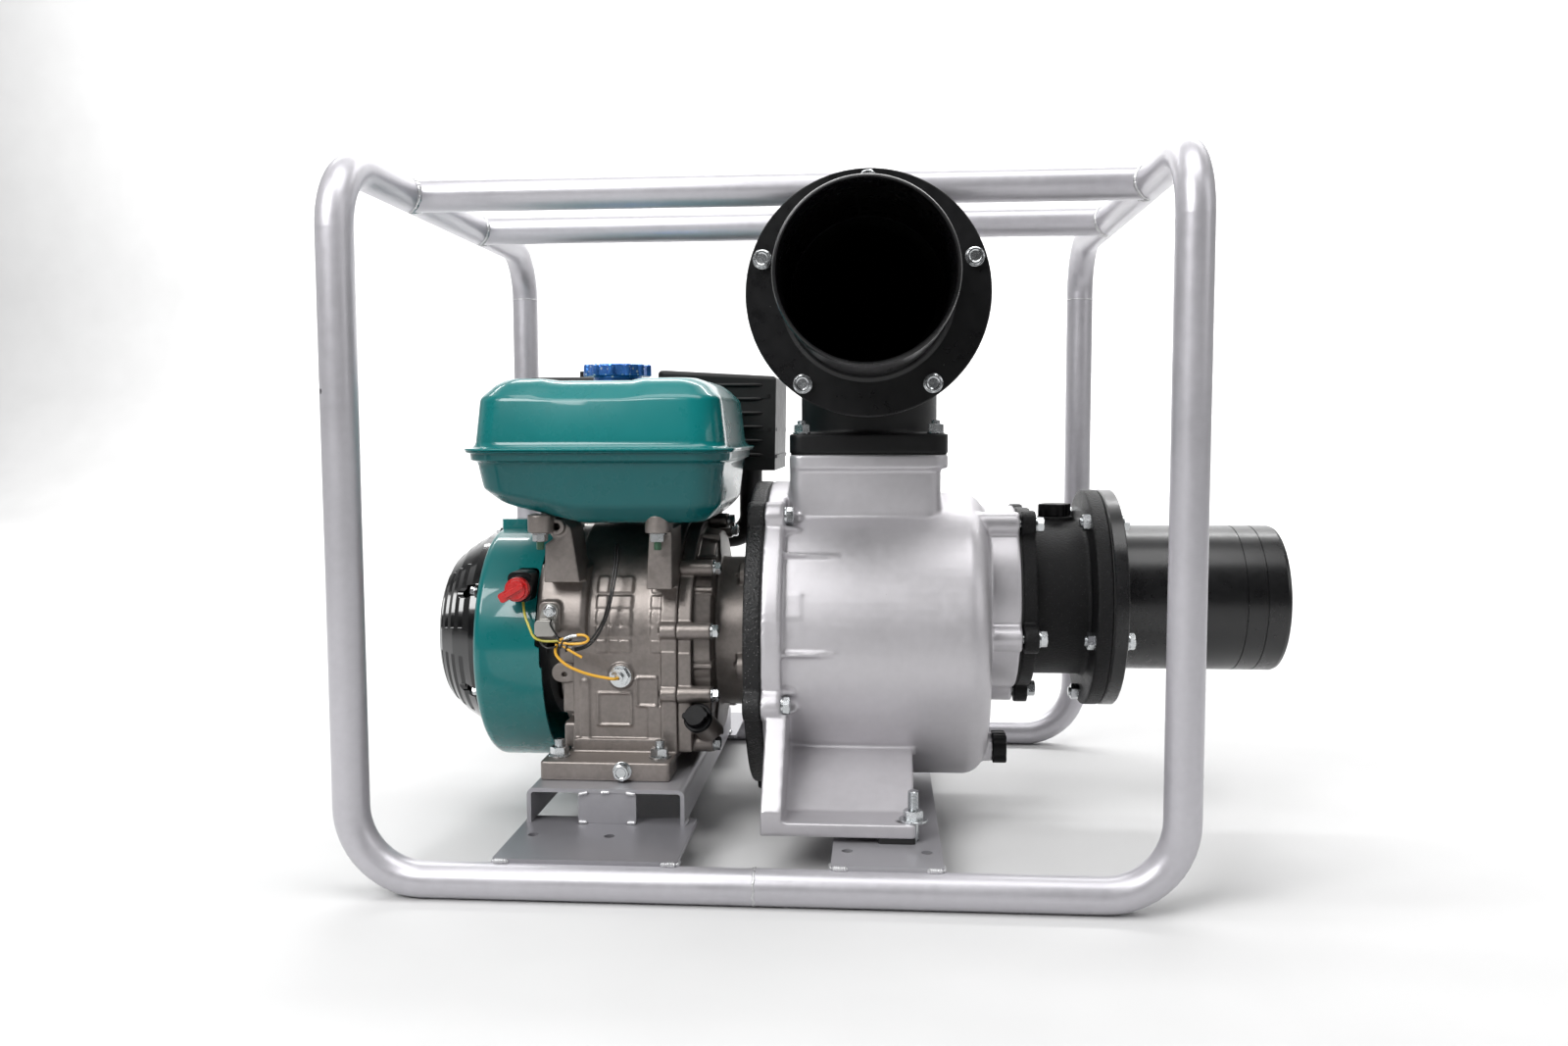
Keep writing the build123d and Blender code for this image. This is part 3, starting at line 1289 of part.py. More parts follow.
NECK_X = 91.0
with BuildPart() as pump_casing:
    # flange with five lugs
    with BuildSketch(yz(-8)):
        Circle(162)
        for a in ANG5:
            with Locations(pol(LUG_R, a)):
                Circle(15)
    extrude(amount=19)
    # round body with a soft right-hand corner
    with BuildSketch(yz(8)):
        Circle(150)
    extrude(amount=208)
    fillet(pump_casing.faces().sort_by(Axis.X)[-1].edges(), 24)
    # discharge neck and its square flange
    with BuildSketch(xy(230, NECK_X)):
        RectangleRounded(154, 156, 14)
    extrude(amount=145)
    with BuildSketch(xy(372.6, ELB_X)):
        RectangleRounded(161, 162, 14)
    extrude(amount=14.4)
    # suction neck with bolt bosses
    with BuildSketch(yz(186, 0, SUC_Z)):
        Circle(97)
    extrude(amount=62)
    with BuildSketch(yz(200, 0, SUC_Z)):
        for a in ANG5:
            with Locations(pol(100, a)):
                Circle(13)
    extrude(amount=48)
    # thin ribs behind the flange and gussets behind the lugs
    for a in (134, 180, 218, 46, 0, 322):
        with BuildSketch(Plane(origin=V(0, 0, AXZ), x_dir=(1, 0, 0), z_dir=(0, sin(radians(a)), -cos(radians(a))))):
            with BuildLine():
                Polyline((9, 140), (9, 158), (20, 156), (66, 150.5), (66, 140), close=True)
            make_face()
        extrude(amount=1.6, both=True)
    for a in ANG5:
        with BuildSketch(Plane(origin=V(0, 0, AXZ), x_dir=(1, 0, 0), z_dir=(0, sin(radians(a)), -cos(radians(a))))):
            with BuildLine():
                Polyline((9, 140), (9, 150), (30, 150.2), (30, 140), close=True)
            make_face()
        extrude(amount=12, both=True)
        with BuildSketch(yz(9)):
            with Locations(Location(pol(153, a) + (0,), (0, 0, a))):
                Rectangle(14, 34)
        extrude(amount=16, taper=20)
    # legs and feet, front and back
    for s in (-1, 1):
        with BuildSketch(yz(-3, 0, 0)):
            with BuildLine():
                Polyline((s * 150, 150), (s * 166, 136), (s * 229, 64), (s * 229, 41), (s * 190, 41), (s * 100, 84), close=True)
            make_face()
        extrude(amount=20)
        with BuildSketch(xy(41, 68, s * 209.5)):
            RectangleRounded(142, 39, 2)
        extrude(amount=13)
        with BuildSketch(yz(10, 0, 0)):
            with BuildLine():
                Polyline((s * 196, 52), (s * 186, 52), (s * 100, 88), (s * 104, 100), (s * 112, 97), close=True)
            make_face()
        extrude(amount=129)
        with BuildSketch(xy(41, 137, s * 214)):
            SlotOverall(30, 11)
        extrude(amount=14, mode=Mode.SUBTRACT)
    # drain boss low on the end
    with BuildSketch(yz(200, -60, 85)):
        Circle(15)
    extrude(amount=22)
    # ---- cavities
    with BuildSketch(yz(-9)):
        Circle(144)
    extrude(amount=199, mode=Mode.SUBTRACT)
    with BuildSketch(yz(190)):
        Circle(144)
    extrude(amount=20, taper=42, mode=Mode.SUBTRACT)
    with BuildSketch(xy(232, NECK_X)):
        RectangleRounded(140, 142, 8)
    extrude(amount=170, mode=Mode.SUBTRACT)
    # suction chamber inside the body
    with BuildSketch(yz(150, 0, SUC_Z)):
        Circle(96)
    extrude(amount=66)
    with BuildSketch(yz(156, 0, SUC_Z)):
        Circle(90)
    extrude(amount=100, mode=Mode.SUBTRACT)
    with BuildSketch(yz(140)):
        Circle(46)
    extrude(amount=30, mode=Mode.SUBTRACT)
    # bolt holes
    with BuildSketch(yz(-9)):
        with Locations(*[pol(LUG_R, a) for a in ANG5]):
            Circle(5.4)
    extrude(amount=40, mode=Mode.SUBTRACT)
    with BuildSketch(yz(11)):
        with Locations(*[pol(LUG_R, a) for a in ANG5]):
            Circle(10.5)
    extrude(amount=30, mode=Mode.SUBTRACT)
    with BuildSketch(yz(222, 0, SUC_Z)):
        with Locations(*[pol(100, a) for a in ANG5]):
            Circle(5.1)
    extrude(amount=30, mode=Mode.SUBTRACT)
    with BuildSketch(xy(374, ELB_X)):
        with GridLocations(136, 136, 2, 2):
            Circle(5.1)
    extrude(amount=20, mode=Mode.SUBTRACT)
    with BuildSketch(yz(190, -60, 85)):
        Circle(8.1)
    extrude(amount=40, mode=Mode.SUBTRACT)
pump_casing.part.label = "pump_casing"
export_step(pump_casing.part, "parts/pump_casing.step")
print("casing", len(pump_casing.solids()), pump_casing.part.is_valid)


with BuildPart() as volute:
    with BuildSketch(yz(-8.9)):
        Circle(118)
        Circle(108, mode=Mode.SUBTRACT)
    extrude(amount=60.9)
    with BuildSketch(yz(52)):
        Circle(118)
        Circle(46, mode=Mode.SUBTRACT)
    extrude(amount=6)
    with BuildSketch(yz(58)):
        Circle(52)
        Circle(46, mode=Mode.SUBTRACT)
    extrude(amount=91.9)
    # cutwater and discharge throat at the top
    with BuildSketch(xy(280, 22, 60)):
        Rectangle(40, 76)
    extrude(amount=60, mode=Mode.SUBTRACT)
    with BuildSketch(yz(-8.9)):
        with Locations(Location(pol(101, 62) + (0,), (0, 0, 62))):
            Rectangle(14, 8)
    extrude(amount=62)
volute.part.label = "volute"
export_step(volute.part, "parts/volute.step")
print("volute", len(volute.solids()), volute.part.is_valid)

with BuildPart() as impeller:
    with BuildSketch(yz(12)):
        Circle(90)
    extrude(amount=6)
    with BuildSketch(yz(12)):
        Circle(22)
    extrude(amount=49.8, taper=6)
    for k in range(5):
        with BuildSketch(yz(17)):
            with BuildLine():
                v1 = ThreePointArc(pol(20, 72 * k), pol(56, 72 * k + 42), pol(89, 72 * k + 64))
                offset(amount=2.6)
            make_face()
        extrude(amount=31)
    with BuildSketch(yz(10)):
        Circle(12.5)
    extrude(amount=60, mode=Mode.SUBTRACT)
    # nut and washer holding it on the shaft
    with BuildSketch(yz(62)):
        Circle(12)
        Circle(8, mode=Mode.SUBTRACT)
    extrude(amount=1.5)
    with BuildSketch(yz(63.5)):
        hexa(11)
        Circle(8, mode=Mode.SUBTRACT)
    extrude(amount=10)
impeller.part.label = "impeller"
export_step(impeller.part, "parts/impeller.step")
print("impeller", len(impeller.solids()), impeller.part.is_valid)


with BuildPart() as mechanical_seal:
    with BuildSketch(yz(-24)):
        Circle(19.9)
        Circle(16.1, mode=Mode.SUBTRACT)
    extrude(amount=14)
    with BuildSketch(yz(-9.8)):
        Circle(19.9)
        Circle(12.8, mode=Mode.SUBTRACT)
    extrude(amount=7)
    with BuildSketch(yz(-3)):
        Circle(18)
        Circle(12.8, mode=Mode.SUBTRACT)
    extrude(amount=13)
mechanical_seal.part.label = "mechanical_seal"
export_step(mechanical_seal.part, "parts/mechanical_seal.step")

with BuildPart() as suction_housing:
    with BuildSketch(yz(249.5, 0, SUC_Z)):
        Circle(95)
        for a in ANG5:
            with Locations(pol(100, a)):
                Circle(14.5)
    extrude(amount=14.5)
    with BuildSketch(yz(262, 0, SUC_Z)):
        Circle(82)
    extrude(amount=58)
    with BuildSketch(yz(319, 0, SUC_Z)):
        Circle(FL_R)
    extrude(amount=16)
    fillet(suction_housing.faces().sort_by(Axis.X)[-1].edges().group_by(SortBy.LENGTH)[-1], 1.5)
    with BuildSketch(xy(290, 291.5)):
        Circle(20)
    extrude(amount=30)
    with BuildSketch(yz(240, 0, SUC_Z)):
        Circle(HOSE_RI)
    extrude(amount=110, mode=Mode.SUBTRACT)
    with BuildSketch(yz(245, 0, SUC_Z)):
        Circle(88)
    extrude(amount=9, mode=Mode.SUBTRACT)
    with BuildSketch(xy(286, 291.5)):
        Circle(11.6)
    extrude(amount=40, mode=Mode.SUBTRACT)
    with BuildSketch(yz(240, 0, SUC_Z)):
        with Locations(*[pol(100, a) for a in ANG5]):
            Circle(5.2)
    extrude(amount=60, mode=Mode.SUBTRACT)
    with BuildSketch(yz(310, 0, SUC_Z)):
        with Locations(*[pol(FL_PCR, a) for a in ANG5]):
            Circle(5.2)
    extrude(amount=40, mode=Mode.SUBTRACT)
    # hinge pin of the check valve between two lugs
    with BuildSketch(xz(25, 243.2, SUC_Z + 82)):
        Circle(3)
    extrude(amount=50)
    for s in (-1, 1):
        with BuildSketch(xz(s * 22.25, 247.3, SUC_Z + 81)):
            Rectangle(14.2, 8)
        extrude(amount=2.75, both=True)
suction_housing.part.label = "suction_housing"
export_step(suction_housing.part, "parts/suction_housing.step")
print("suction", len(suction_housing.solids()), suction_housing.part.is_valid)


# check valve: rubber flap with a backing disc on a pin under the neck's top
FLAP_Z = SUC_Z + 82.0
with BuildPart() as check_valve_flap:
    with BuildSketch(yz(246.2, 0, SUC_Z)):
        Circle(78)
    extrude(amount=6)
    with BuildSketch(yz(240.2, 0, SUC_Z)):
        Circle(58)
    extrude(amount=6)
    with BuildSketch(yz(240.2, 0, SUC_Z + 66)):
        Rectangle(30, 30)
    extrude(amount=12)
    with BuildSketch(xz(15, 243.2, FLAP_Z)):
        Circle(5.5)
    extrude(amount=30)
    with BuildSketch(xz(20, 243.2, FLAP_Z)):
        Circle(3.05)
    extrude(amount=40, mode=Mode.SUBTRACT)
check_valve_flap.part.label = "check_valve_flap"
export_step(check_valve_flap.part, "parts/check_valve_flap.step")


with BuildPart() as priming_plug:
    with BuildSketch(xy(320.3, 291.5)):
        Circle(15)
        with PolarLocations(13.5, 4, start_angle=20):
            Circle(5)
    extrude(amount=13)
    fillet(priming_plug.faces().sort_by(Axis.Z)[-1].edges(), 1.5)
    with BuildSketch(xy(300, 291.5)):
        Circle(11.5)
    extrude(amount=20.3)
priming_plug.part.label = "priming_plug"
export_step(priming_plug.part, "parts/priming_plug.step")

with BuildPart() as drain_plug:
    with BuildSketch(yz(222.3, -60, 85)):
        Circle(15)
        with PolarLocations(13.5, 4, start_angle=45):
            Circle(5)
    extrude(amount=14)
    fillet(drain_plug.faces().sort_by(Axis.X)[-1].edges(), 1.5)
    with BuildSketch(yz(206, -60, 85)):
        Circle(8.0)
    extrude(amount=16.3)
drain_plug.part.label = "drain_plug"
export_step(drain_plug.part, "parts/drain_plug.step")

with BuildPart() as suction_stub:
    with BuildSketch(Plane(origin=V(0, 0, SUC_Z), x_dir=(1, 0, 0), z_dir=(0, -1, 0))):
        with BuildLine():
            Polyline((336, HOSE_RI), (336, FL_R - 1), (337, FL_R), (349, FL_R), (350, FL_R - 1), (350, 82), (352, 78.4),
                     (356, HOSE_R), (472, HOSE_R), (472.4, HOSE_R - 0.8), (473.6, HOSE_R - 0.8), (474, HOSE_R),
                     (492, HOSE_R), (492.4, HOSE_R - 0.8), (493.6, HOSE_R - 0.8), (494, HOSE_R),
                     (513, HOSE_R), (516, HOSE_R - 1.2), (STUB_X, HOSE_R - 2.6), (STUB_X, HOSE_RI), close=True)
        make_face()
    revolve(axis=Axis(V(0, 0, SUC_Z), (1, 0, 0)))
    with BuildSketch(yz(330, 0, SUC_Z)):
        with Locations(*[pol(FL_PCR, a) for a in ANG5]):
            Circle(5.2)
    extrude(amount=30, mode=Mode.SUBTRACT)
suction_stub.part.label = "suction_stub"
export_step(suction_stub.part, "parts/suction_stub.step")

with BuildPart() as discharge_elbow:
    with BuildSketch(xy(388, ELB_X)):
        RectangleRounded(161, 162, 14)
    extrude(amount=20)
    with BuildLine() as elbow_path:
        FilletPolyline(V(ELB_X, 0, 400), V(ELB_X, 0, ELB_Z), V(ELB_X, -157.5, ELB_Z), radius=[88])
    with BuildSketch(Plane(origin=elbow_path.line @ 0, z_dir=elbow_path.line % 0)):
        Circle(72)
    sweep(path=elbow_path.line)
    with BuildSketch(xz(-145.5, ELB_X, ELB_Z)):
        Circle(FL_R)
    extrude(amount=12)
    with BuildSketch(Plane(origin=elbow_path.line @ 0, z_dir=elbow_path.line % 0)):
        Circle(65)
    sweep(path=elbow_path.line, mode=Mode.SUBTRACT)
    with BuildSketch(xy(386, ELB_X)):
        Circle(65)
        with GridLocations(136, 136, 2, 2):
            Circle(5.3)
    extrude(amount=24, mode=Mode.SUBTRACT)
    with BuildSketch(xz(-140, ELB_X, ELB_Z)):
        with Locations(*[pol(FL_PCR, a) for a in ANG5F]):
            Circle(5.2)
    extrude(amount=24, mode=Mode.SUBTRACT)
    with BuildSketch(xz(-140, ELB_X, ELB_Z)):
        Circle(65)
    extrude(amount=30, mode=Mode.SUBTRACT)
    with BuildSketch(xz(-157.6, ELB_X, ELB_Z)):
        Circle(72.4)
    with BuildSketch(xz(-138, ELB_X, ELB_Z)):
        Circle(64.9)
    loft(mode=Mode.SUBTRACT)
discharge_elbow.part.label = "discharge_elbow"
export_step(discharge_elbow.part, "parts/discharge_elbow.step")
print("elbow", len(discharge_elbow.solids()), discharge_elbow.part.is_valid)

with BuildPart() as discharge_stub:
    with BuildSketch(Plane(origin=V(ELB_X, 0, ELB_Z), x_dir=(0, -1, 0), z_dir=(1, 0, 0))):
        with BuildLine():
            Polyline((158.5, HOSE_RI), (158.5, FL_R - 1), (159.5, FL_R), (171, FL_R), (172, FL_R - 1), (172, 82),
                     (174, 78.4), (178, HOSE_R), (333, HOSE_R), (335.4, HOSE_R - 1), (336, HOSE_R - 2.2),
                     (336, HOSE_RI), close=True)
        make_face()
    revolve(axis=Axis(V(ELB_X, 0, ELB_Z), (0, 1, 0)))
    with BuildSketch(xz(-150, ELB_X, ELB_Z)):
        with Locations(*[pol(FL_PCR, a) for a in ANG5F]):
            Circle(5.2)
    extrude(amount=30, mode=Mode.SUBTRACT)
discharge_stub.part.label = "discharge_stub"
export_step(discharge_stub.part, "parts/discharge_stub.step")

with BuildPart() as pump_case_bolts:
    # socket screws of the adapter
    for a in ANG5:
        with BuildSketch(yz(-40)):
            with Locations(pol(82, a)):
                Circle(4.1)
        extrude(amount=31)
        with BuildSketch(yz(-9)):
            with Locations(pol(82, a)):
                Circle(6.5)
        extrude(amount=7)
        with BuildSketch(yz(-6)):
            with Locations(pol(82, a)):
                hexa(3)
        extrude(amount=10, mode=Mode.SUBTRACT)
    # adapter to casing
    for a in ANG5:
        with BuildSketch(yz(-22)):
            with Locations(pol(LUG_R, a)):
                Circle(5)
        extrude(amount=33)
        with BuildSketch(yz(11.0)):
            with Locations(pol(LUG_R, a)):
                Circle(9.5)
        extrude(amount=1.8)
        with BuildSketch(yz(12.8)):
            with Locations(pol(LUG_R, a)):
                hexa(8)
        extrude(amount=7)
    # suction housing
    for a in ANG5:
        with BuildSketch(yz(224, 0, SUC_Z)):
            with Locations(pol(100, a)):
                Circle(4.9)
        extrude(amount=40)
        with BuildSketch(yz(264, 0, SUC_Z)):
            with Locations(pol(100, a)):
                Circle(9)
        extrude(amount=1.8)
        with BuildSketch(yz(265.8, 0, SUC_Z)):
            with Locations(pol(100, a)):
                hexa(7)
        extrude(amount=7)
    # elbow
    for ex in (-68, 68):
        for ey in (-68, 68):
            with BuildSketch(xy(376, ELB_X + ex, ey)):
                Circle(4.9)
            extrude(amount=46)
            with BuildSketch(xy(408, ELB_X + ex, ey)):
                Circle(9)
            extrude(amount=1.8)
            with BuildSketch(xy(409.8, ELB_X + ex, ey)):
                hexa(7.5)
            extrude(amount=8)
pump_case_bolts.part.label = "pump_case_bolts"
export_step(pump_case_bolts.part, "parts/pump_case_bolts.step")

with BuildPart() as hose_flange_bolts:
    for a in ANG5F:
        px, pz = pol(FL_PCR, a)
        with BuildSketch(xz(-134.5, ELB_X + px, ELB_Z + pz)):
            Circle(4.9)
        extrude(amount=38)
        with BuildSketch(xz(-137.5, ELB_X + px, ELB_Z + pz)):
            hexa(7.5)
        extrude(amount=8)
        with BuildSketch(xz(-172, ELB_X + px, ELB_Z + pz)):
            Circle(9)
        extrude(amount=1.8)
        with BuildSketch(xz(-173.8, ELB_X + px, ELB_Z + pz)):
            hexa(7.5)
        extrude(amount=6)
    for a in ANG5:
        with BuildSketch(yz(308.5, 0, SUC_Z)):
            with Locations(pol(FL_PCR, a)):
                Circle(4.9)
        extrude(amount=42)
        with BuildSketch(yz(311, 0, SUC_Z)):
            with Locations(pol(FL_PCR, a)):
                hexa(7.5)
        extrude(amount=8)
        with BuildSketch(yz(350, 0, SUC_Z)):
            with Locations(pol(FL_PCR, a)):
                Circle(9)
        extrude(amount=1.8)
        with BuildSketch(yz(351.8, 0, SUC_Z)):
            with Locations(pol(FL_PCR, a)):
                hexa(7.5)
        extrude(amount=6)
hose_flange_bolts.part.label = "hose_flange_bolts"
export_step(hose_flange_bolts.part, "parts/hose_flange_bolts.step")

with BuildPart() as gaskets:
    with BuildSketch(yz(-9)):
        Circle(161)
        Circle(145, mode=Mode.SUBTRACT)
        with Locations(*[pol(LUG_R, a) for a in ANG5]):
            Circle(7, mode=Mode.SUBTRACT)
    extrude(amount=1)
    with BuildSketch(xy(387, ELB_X)):
        RectangleRounded(159, 160, 13)
        RectangleRounded(140, 142, 8, mode=Mode.SUBTRACT)
        with GridLocations(136, 136, 2, 2):
            Circle(5.4, mode=Mode.SUBTRACT)
    extrude(amount=1)
    with BuildSketch(yz(248, 0, SUC_Z)):
        Circle(94.5)
        Circle(90, mode=Mode.SUBTRACT)
    extrude(amount=1.5)
    with BuildSketch(yz(335, 0, SUC_Z)):
        Circle(FL_R - 1)
        Circle(HOSE_RI, mode=Mode.SUBTRACT)
        with Locations(*[pol(FL_PCR, a) for a in ANG5]):
            Circle(5.2, mode=Mode.SUBTRACT)
    extrude(amount=1)
    with BuildSketch(xz(-157.5, ELB_X, ELB_Z)):
        Circle(FL_R - 1)
        Circle(HOSE_RI, mode=Mode.SUBTRACT)
        with Locations(*[pol(FL_PCR, a) for a in ANG5F]):
            Circle(5.2, mode=Mode.SUBTRACT)
    extrude(amount=1)
    # rubber pads under the pump feet
    for s in (-1, 1):
        with BuildSketch(xy(36, 122, s * 212)):
            RectangleRounded(34, 32, 3)
            with Locations((15, s * 2)):
                Circle(5.6, mode=Mode.SUBTRACT)
        extrude(amount=5)
gaskets.part.label = "gaskets"
export_step(gaskets.part, "parts/gaskets.step")
print("gaskets", len(gaskets.solids()), gaskets.part.is_valid)
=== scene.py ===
import bpy, bmesh, math, json, random
from math import sin, cos, pi, radians, sqrt
from mathutils import Vector, Matrix, noise

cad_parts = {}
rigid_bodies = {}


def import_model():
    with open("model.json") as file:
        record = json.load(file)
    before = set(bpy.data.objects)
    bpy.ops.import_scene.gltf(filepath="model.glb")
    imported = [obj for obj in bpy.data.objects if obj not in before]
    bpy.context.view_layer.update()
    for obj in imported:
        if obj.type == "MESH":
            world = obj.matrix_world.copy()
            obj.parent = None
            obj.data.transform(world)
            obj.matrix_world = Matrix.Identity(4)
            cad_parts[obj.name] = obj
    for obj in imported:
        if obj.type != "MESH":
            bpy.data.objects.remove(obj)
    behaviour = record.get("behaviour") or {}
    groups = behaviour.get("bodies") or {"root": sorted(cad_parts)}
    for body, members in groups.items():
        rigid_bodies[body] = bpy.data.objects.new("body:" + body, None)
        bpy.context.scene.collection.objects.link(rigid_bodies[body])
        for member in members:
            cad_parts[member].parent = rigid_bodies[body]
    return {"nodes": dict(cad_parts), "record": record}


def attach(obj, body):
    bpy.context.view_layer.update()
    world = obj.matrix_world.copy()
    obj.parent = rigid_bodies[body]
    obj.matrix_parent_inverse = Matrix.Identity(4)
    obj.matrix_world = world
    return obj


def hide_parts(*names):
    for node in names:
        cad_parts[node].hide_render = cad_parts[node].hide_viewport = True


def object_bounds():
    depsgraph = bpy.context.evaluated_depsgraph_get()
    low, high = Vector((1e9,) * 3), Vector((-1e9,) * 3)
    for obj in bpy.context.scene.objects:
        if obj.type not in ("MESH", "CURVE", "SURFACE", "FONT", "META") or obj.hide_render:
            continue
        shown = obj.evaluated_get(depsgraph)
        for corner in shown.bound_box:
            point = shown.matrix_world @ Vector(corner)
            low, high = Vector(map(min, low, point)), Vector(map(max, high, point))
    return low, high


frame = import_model()
cad_lo, cad_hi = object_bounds()
N = frame["nodes"]
BODY = {}
for b, members in frame["record"]["behaviour"]["bodies"].items():
    for m in members:
        BODY[m] = b
scene = bpy.context.scene
for o in list(scene.objects):
    if o.type in {"LIGHT", "CAMERA"}:
        bpy.data.objects.remove(o)


def P(x, y, z):
    """drawing datum in millimetres to the row frame in metres"""
    return Vector(((x - 70.0) / 1000, (y + 16.0) / 1000, z / 1000))


MM = 0.001
AXZ, SUC_Z, ELB_X, ELB_Z = 195.0, 234.0, 94.5, 538.0
ANG5, ANG5F = (54, 126, 198, 270, 342), (18, 90, 162, 234, 306)


def pol(r, a):
    return (r * cos(radians(a)), r * sin(radians(a)))


# ------------------------------------------------------------------ camera --
yaw, pitch, roll = 0.0757, 0.0738, -0.0034
fwd = Vector((-sin(yaw) * cos(pitch), cos(yaw) * cos(pitch), -sin(pitch)))
right = Vector((cos(yaw), sin(yaw), 0))
up = right.cross(fwd)
r2 = cos(roll) * right + sin(roll) * up
u2 = -sin(roll) * right + cos(roll) * up
cam_data = bpy.data.cameras.new("camera")
cam = bpy.data.objects.new("camera", cam_data)
scene.collection.objects.link(cam)
cam.matrix_world = Matrix.Translation(P(103.54, -1326.8, 410.1)) @ Matrix(
    ((r2.x, u2.x, -fwd.x), (r2.y, u2.y, -fwd.y), (r2.z, u2.z, -fwd.z))).to_4x4()
cam_data.sensor_fit = "HORIZONTAL"
cam_data.sensor_width = 36.0
cam_data.lens = 36.0 * 1256.485 / 1600
cam_data.clip_start, cam_data.clip_end = 0.02, 50
scene.camera = cam

# --------------------------------------------------------------- materials --
MATS = {}


def lin(r, g, b):
    f = lambda c: (c / 255 / 12.92) if c / 255 <= 0.04045 else ((c / 255 + 0.055) / 1.055) ** 2.4
    return (f(r), f(g), f(b), 1)


def material(name, base, rough=0.5, metal=0.0, coat=0.0, coat_rough=0.05, spec=0.5,
             var=0.12, var_scale=9.0, rough_var=0.08, grain=None, wave=None, dirt=None, speck=None):
    """procedural material: base colour broken by two noises, roughness by the same two,
    grain = (scale, bump height, strength) gives the surface relief"""
    m = bpy.data.materials.new(name)
    m.use_nodes = True
    nt = m.node_tree
    bsdf = nt.nodes["Principled BSDF"]
    bsdf.inputs["Metallic"].default_value = metal
    bsdf.inputs["Coat Weight"].default_value = coat
    bsdf.inputs["Coat Roughness"].default_value = coat_rough
    bsdf.inputs["Specular IOR Level"].default_value = spec
    tc = nt.nodes.new("ShaderNodeTexCoord")
    n1 = nt.nodes.new("ShaderNodeTexNoise")
    n1.inputs["Scale"].default_value = var_scale
    n1.inputs["Detail"].default_value = 5
    n1.inputs["Roughness"].default_value = 0.6
    nt.links.new(tc.outputs["Object"], n1.inputs["Vector"])
    n2 = nt.nodes.new("ShaderNodeTexNoise")
    n2.inputs["Scale"].default_value = var_scale * 14
    n2.inputs["Detail"].default_value = 4
    nt.links.new(tc.outputs["Object"], n2.inputs["Vector"])
    mixn = nt.nodes.new("ShaderNodeMath")
    mixn.operation = "MULTIPLY_ADD"
    mixn.inputs[1].default_value = 0.4
    nt.links.new(n2.outputs["Fac"], mixn.inputs[0])
    sc = nt.nodes.new("ShaderNodeMath")
    sc.operation = "MULTIPLY"
    sc.inputs[1].default_value = 0.6
    nt.links.new(n1.outputs["Fac"], sc.inputs[0])
    nt.links.new(sc.outputs[0], mixn.inputs[2])
    ramp = nt.nodes.new("ShaderNodeValToRGB")
    ramp.color_ramp.elements[0].position = 0.36
    ramp.color_ramp.elements[1].position = 0.64
    ramp.color_ramp.elements[0].color = tuple(c * (1 - var) for c in base[:3]) + (1,)
    ramp.color_ramp.elements[1].color = tuple(min(1, c * (1 + var)) for c in base[:3]) + (1,)
    nt.links.new(mixn.outputs[0], ramp.inputs["Fac"])
    colour = ramp.outputs["Color"]
    if dirt:
        # darker film that gathers in patches: dirt = (colour, scale, low, high)
        dn = nt.nodes.new("ShaderNodeTexNoise")
        dn.inputs["Scale"].default_value = dirt[1]
        dn.inputs["Detail"].default_value = 7
        dn.inputs["Distortion"].default_value = 0.6
        nt.links.new(tc.outputs["Object"], dn.inputs["Vector"])
        dr = nt.nodes.new("ShaderNodeMapRange")
        dr.inputs["From Min"].default_value = dirt[2]
        dr.inputs["From Max"].default_value = dirt[3]
        nt.links.new(dn.outputs["Fac"], dr.inputs["Value"])
        mx = nt.nodes.new("ShaderNodeMix")
        mx.data_type = "RGBA"
        nt.links.new(dr.outputs["Result"], mx.inputs["Factor"])
        nt.links.new(colour, mx.inputs["A"])
        mx.inputs["B"].default_value = tuple(dirt[0][:3]) + (1,)
        colour = mx.outputs["Result"]
    if speck:
        # small bright or dark specks: speck = (colour, scale, threshold)
        vn = nt.nodes.new("ShaderNodeTexVoronoi")
        vn.inputs["Scale"].default_value = speck[1]
        nt.links.new(tc.outputs["Object"], vn.inputs["Vector"])
        vr = nt.nodes.new("ShaderNodeMapRange")
        vr.inputs["From Min"].default_value = speck[2]
        vr.inputs["From Max"].default_value = speck[2] * 0.6
        nt.links.new(vn.outputs["Distance"], vr.inputs["Value"])
        mx = nt.nodes.new("ShaderNodeMix")
        mx.data_type = "RGBA"
        nt.links.new(vr.outputs["Result"], mx.inputs["Factor"])
        nt.links.new(colour, mx.inputs["A"])
        mx.inputs["B"].default_value = tuple(speck[0][:3]) + (1,)
        colour = mx.outputs["Result"]
    nt.links.new(colour, bsdf.inputs["Base Color"])
    rr = nt.nodes.new("ShaderNodeMapRange")
    rr.inputs["From Min"].default_value = 0.3
    rr.inputs["From Max"].default_value = 0.7
    rr.inputs["To Min"].default_value = max(0.02, rough - rough_var)
    rr.inputs["To Max"].default_value = min(1, rough + rough_var)
    nt.links.new(mixn.outputs[0], rr.inputs["Value"])
    nt.links.new(rr.outputs["Result"], bsdf.inputs["Roughness"])
    last = None
    if grain:
        gn = nt.nodes.new("ShaderNodeTexNoise")
        gn.inputs["Scale"].default_value = grain[0]
        gn.inputs["Detail"].default_value = 3
        gn.inputs["Roughness"].default_value = 0.65
        nt.links.new(tc.outputs["Object"], gn.inputs["Vector"])
        bp = nt.nodes.new("ShaderNodeBump")
        bp.inputs["Strength"].default_value = grain[2]
        bp.inputs["Distance"].default_value = grain[1]
        nt.links.new(gn.outputs["Fac"], bp.inputs["Height"])
        last = bp
    if wave:
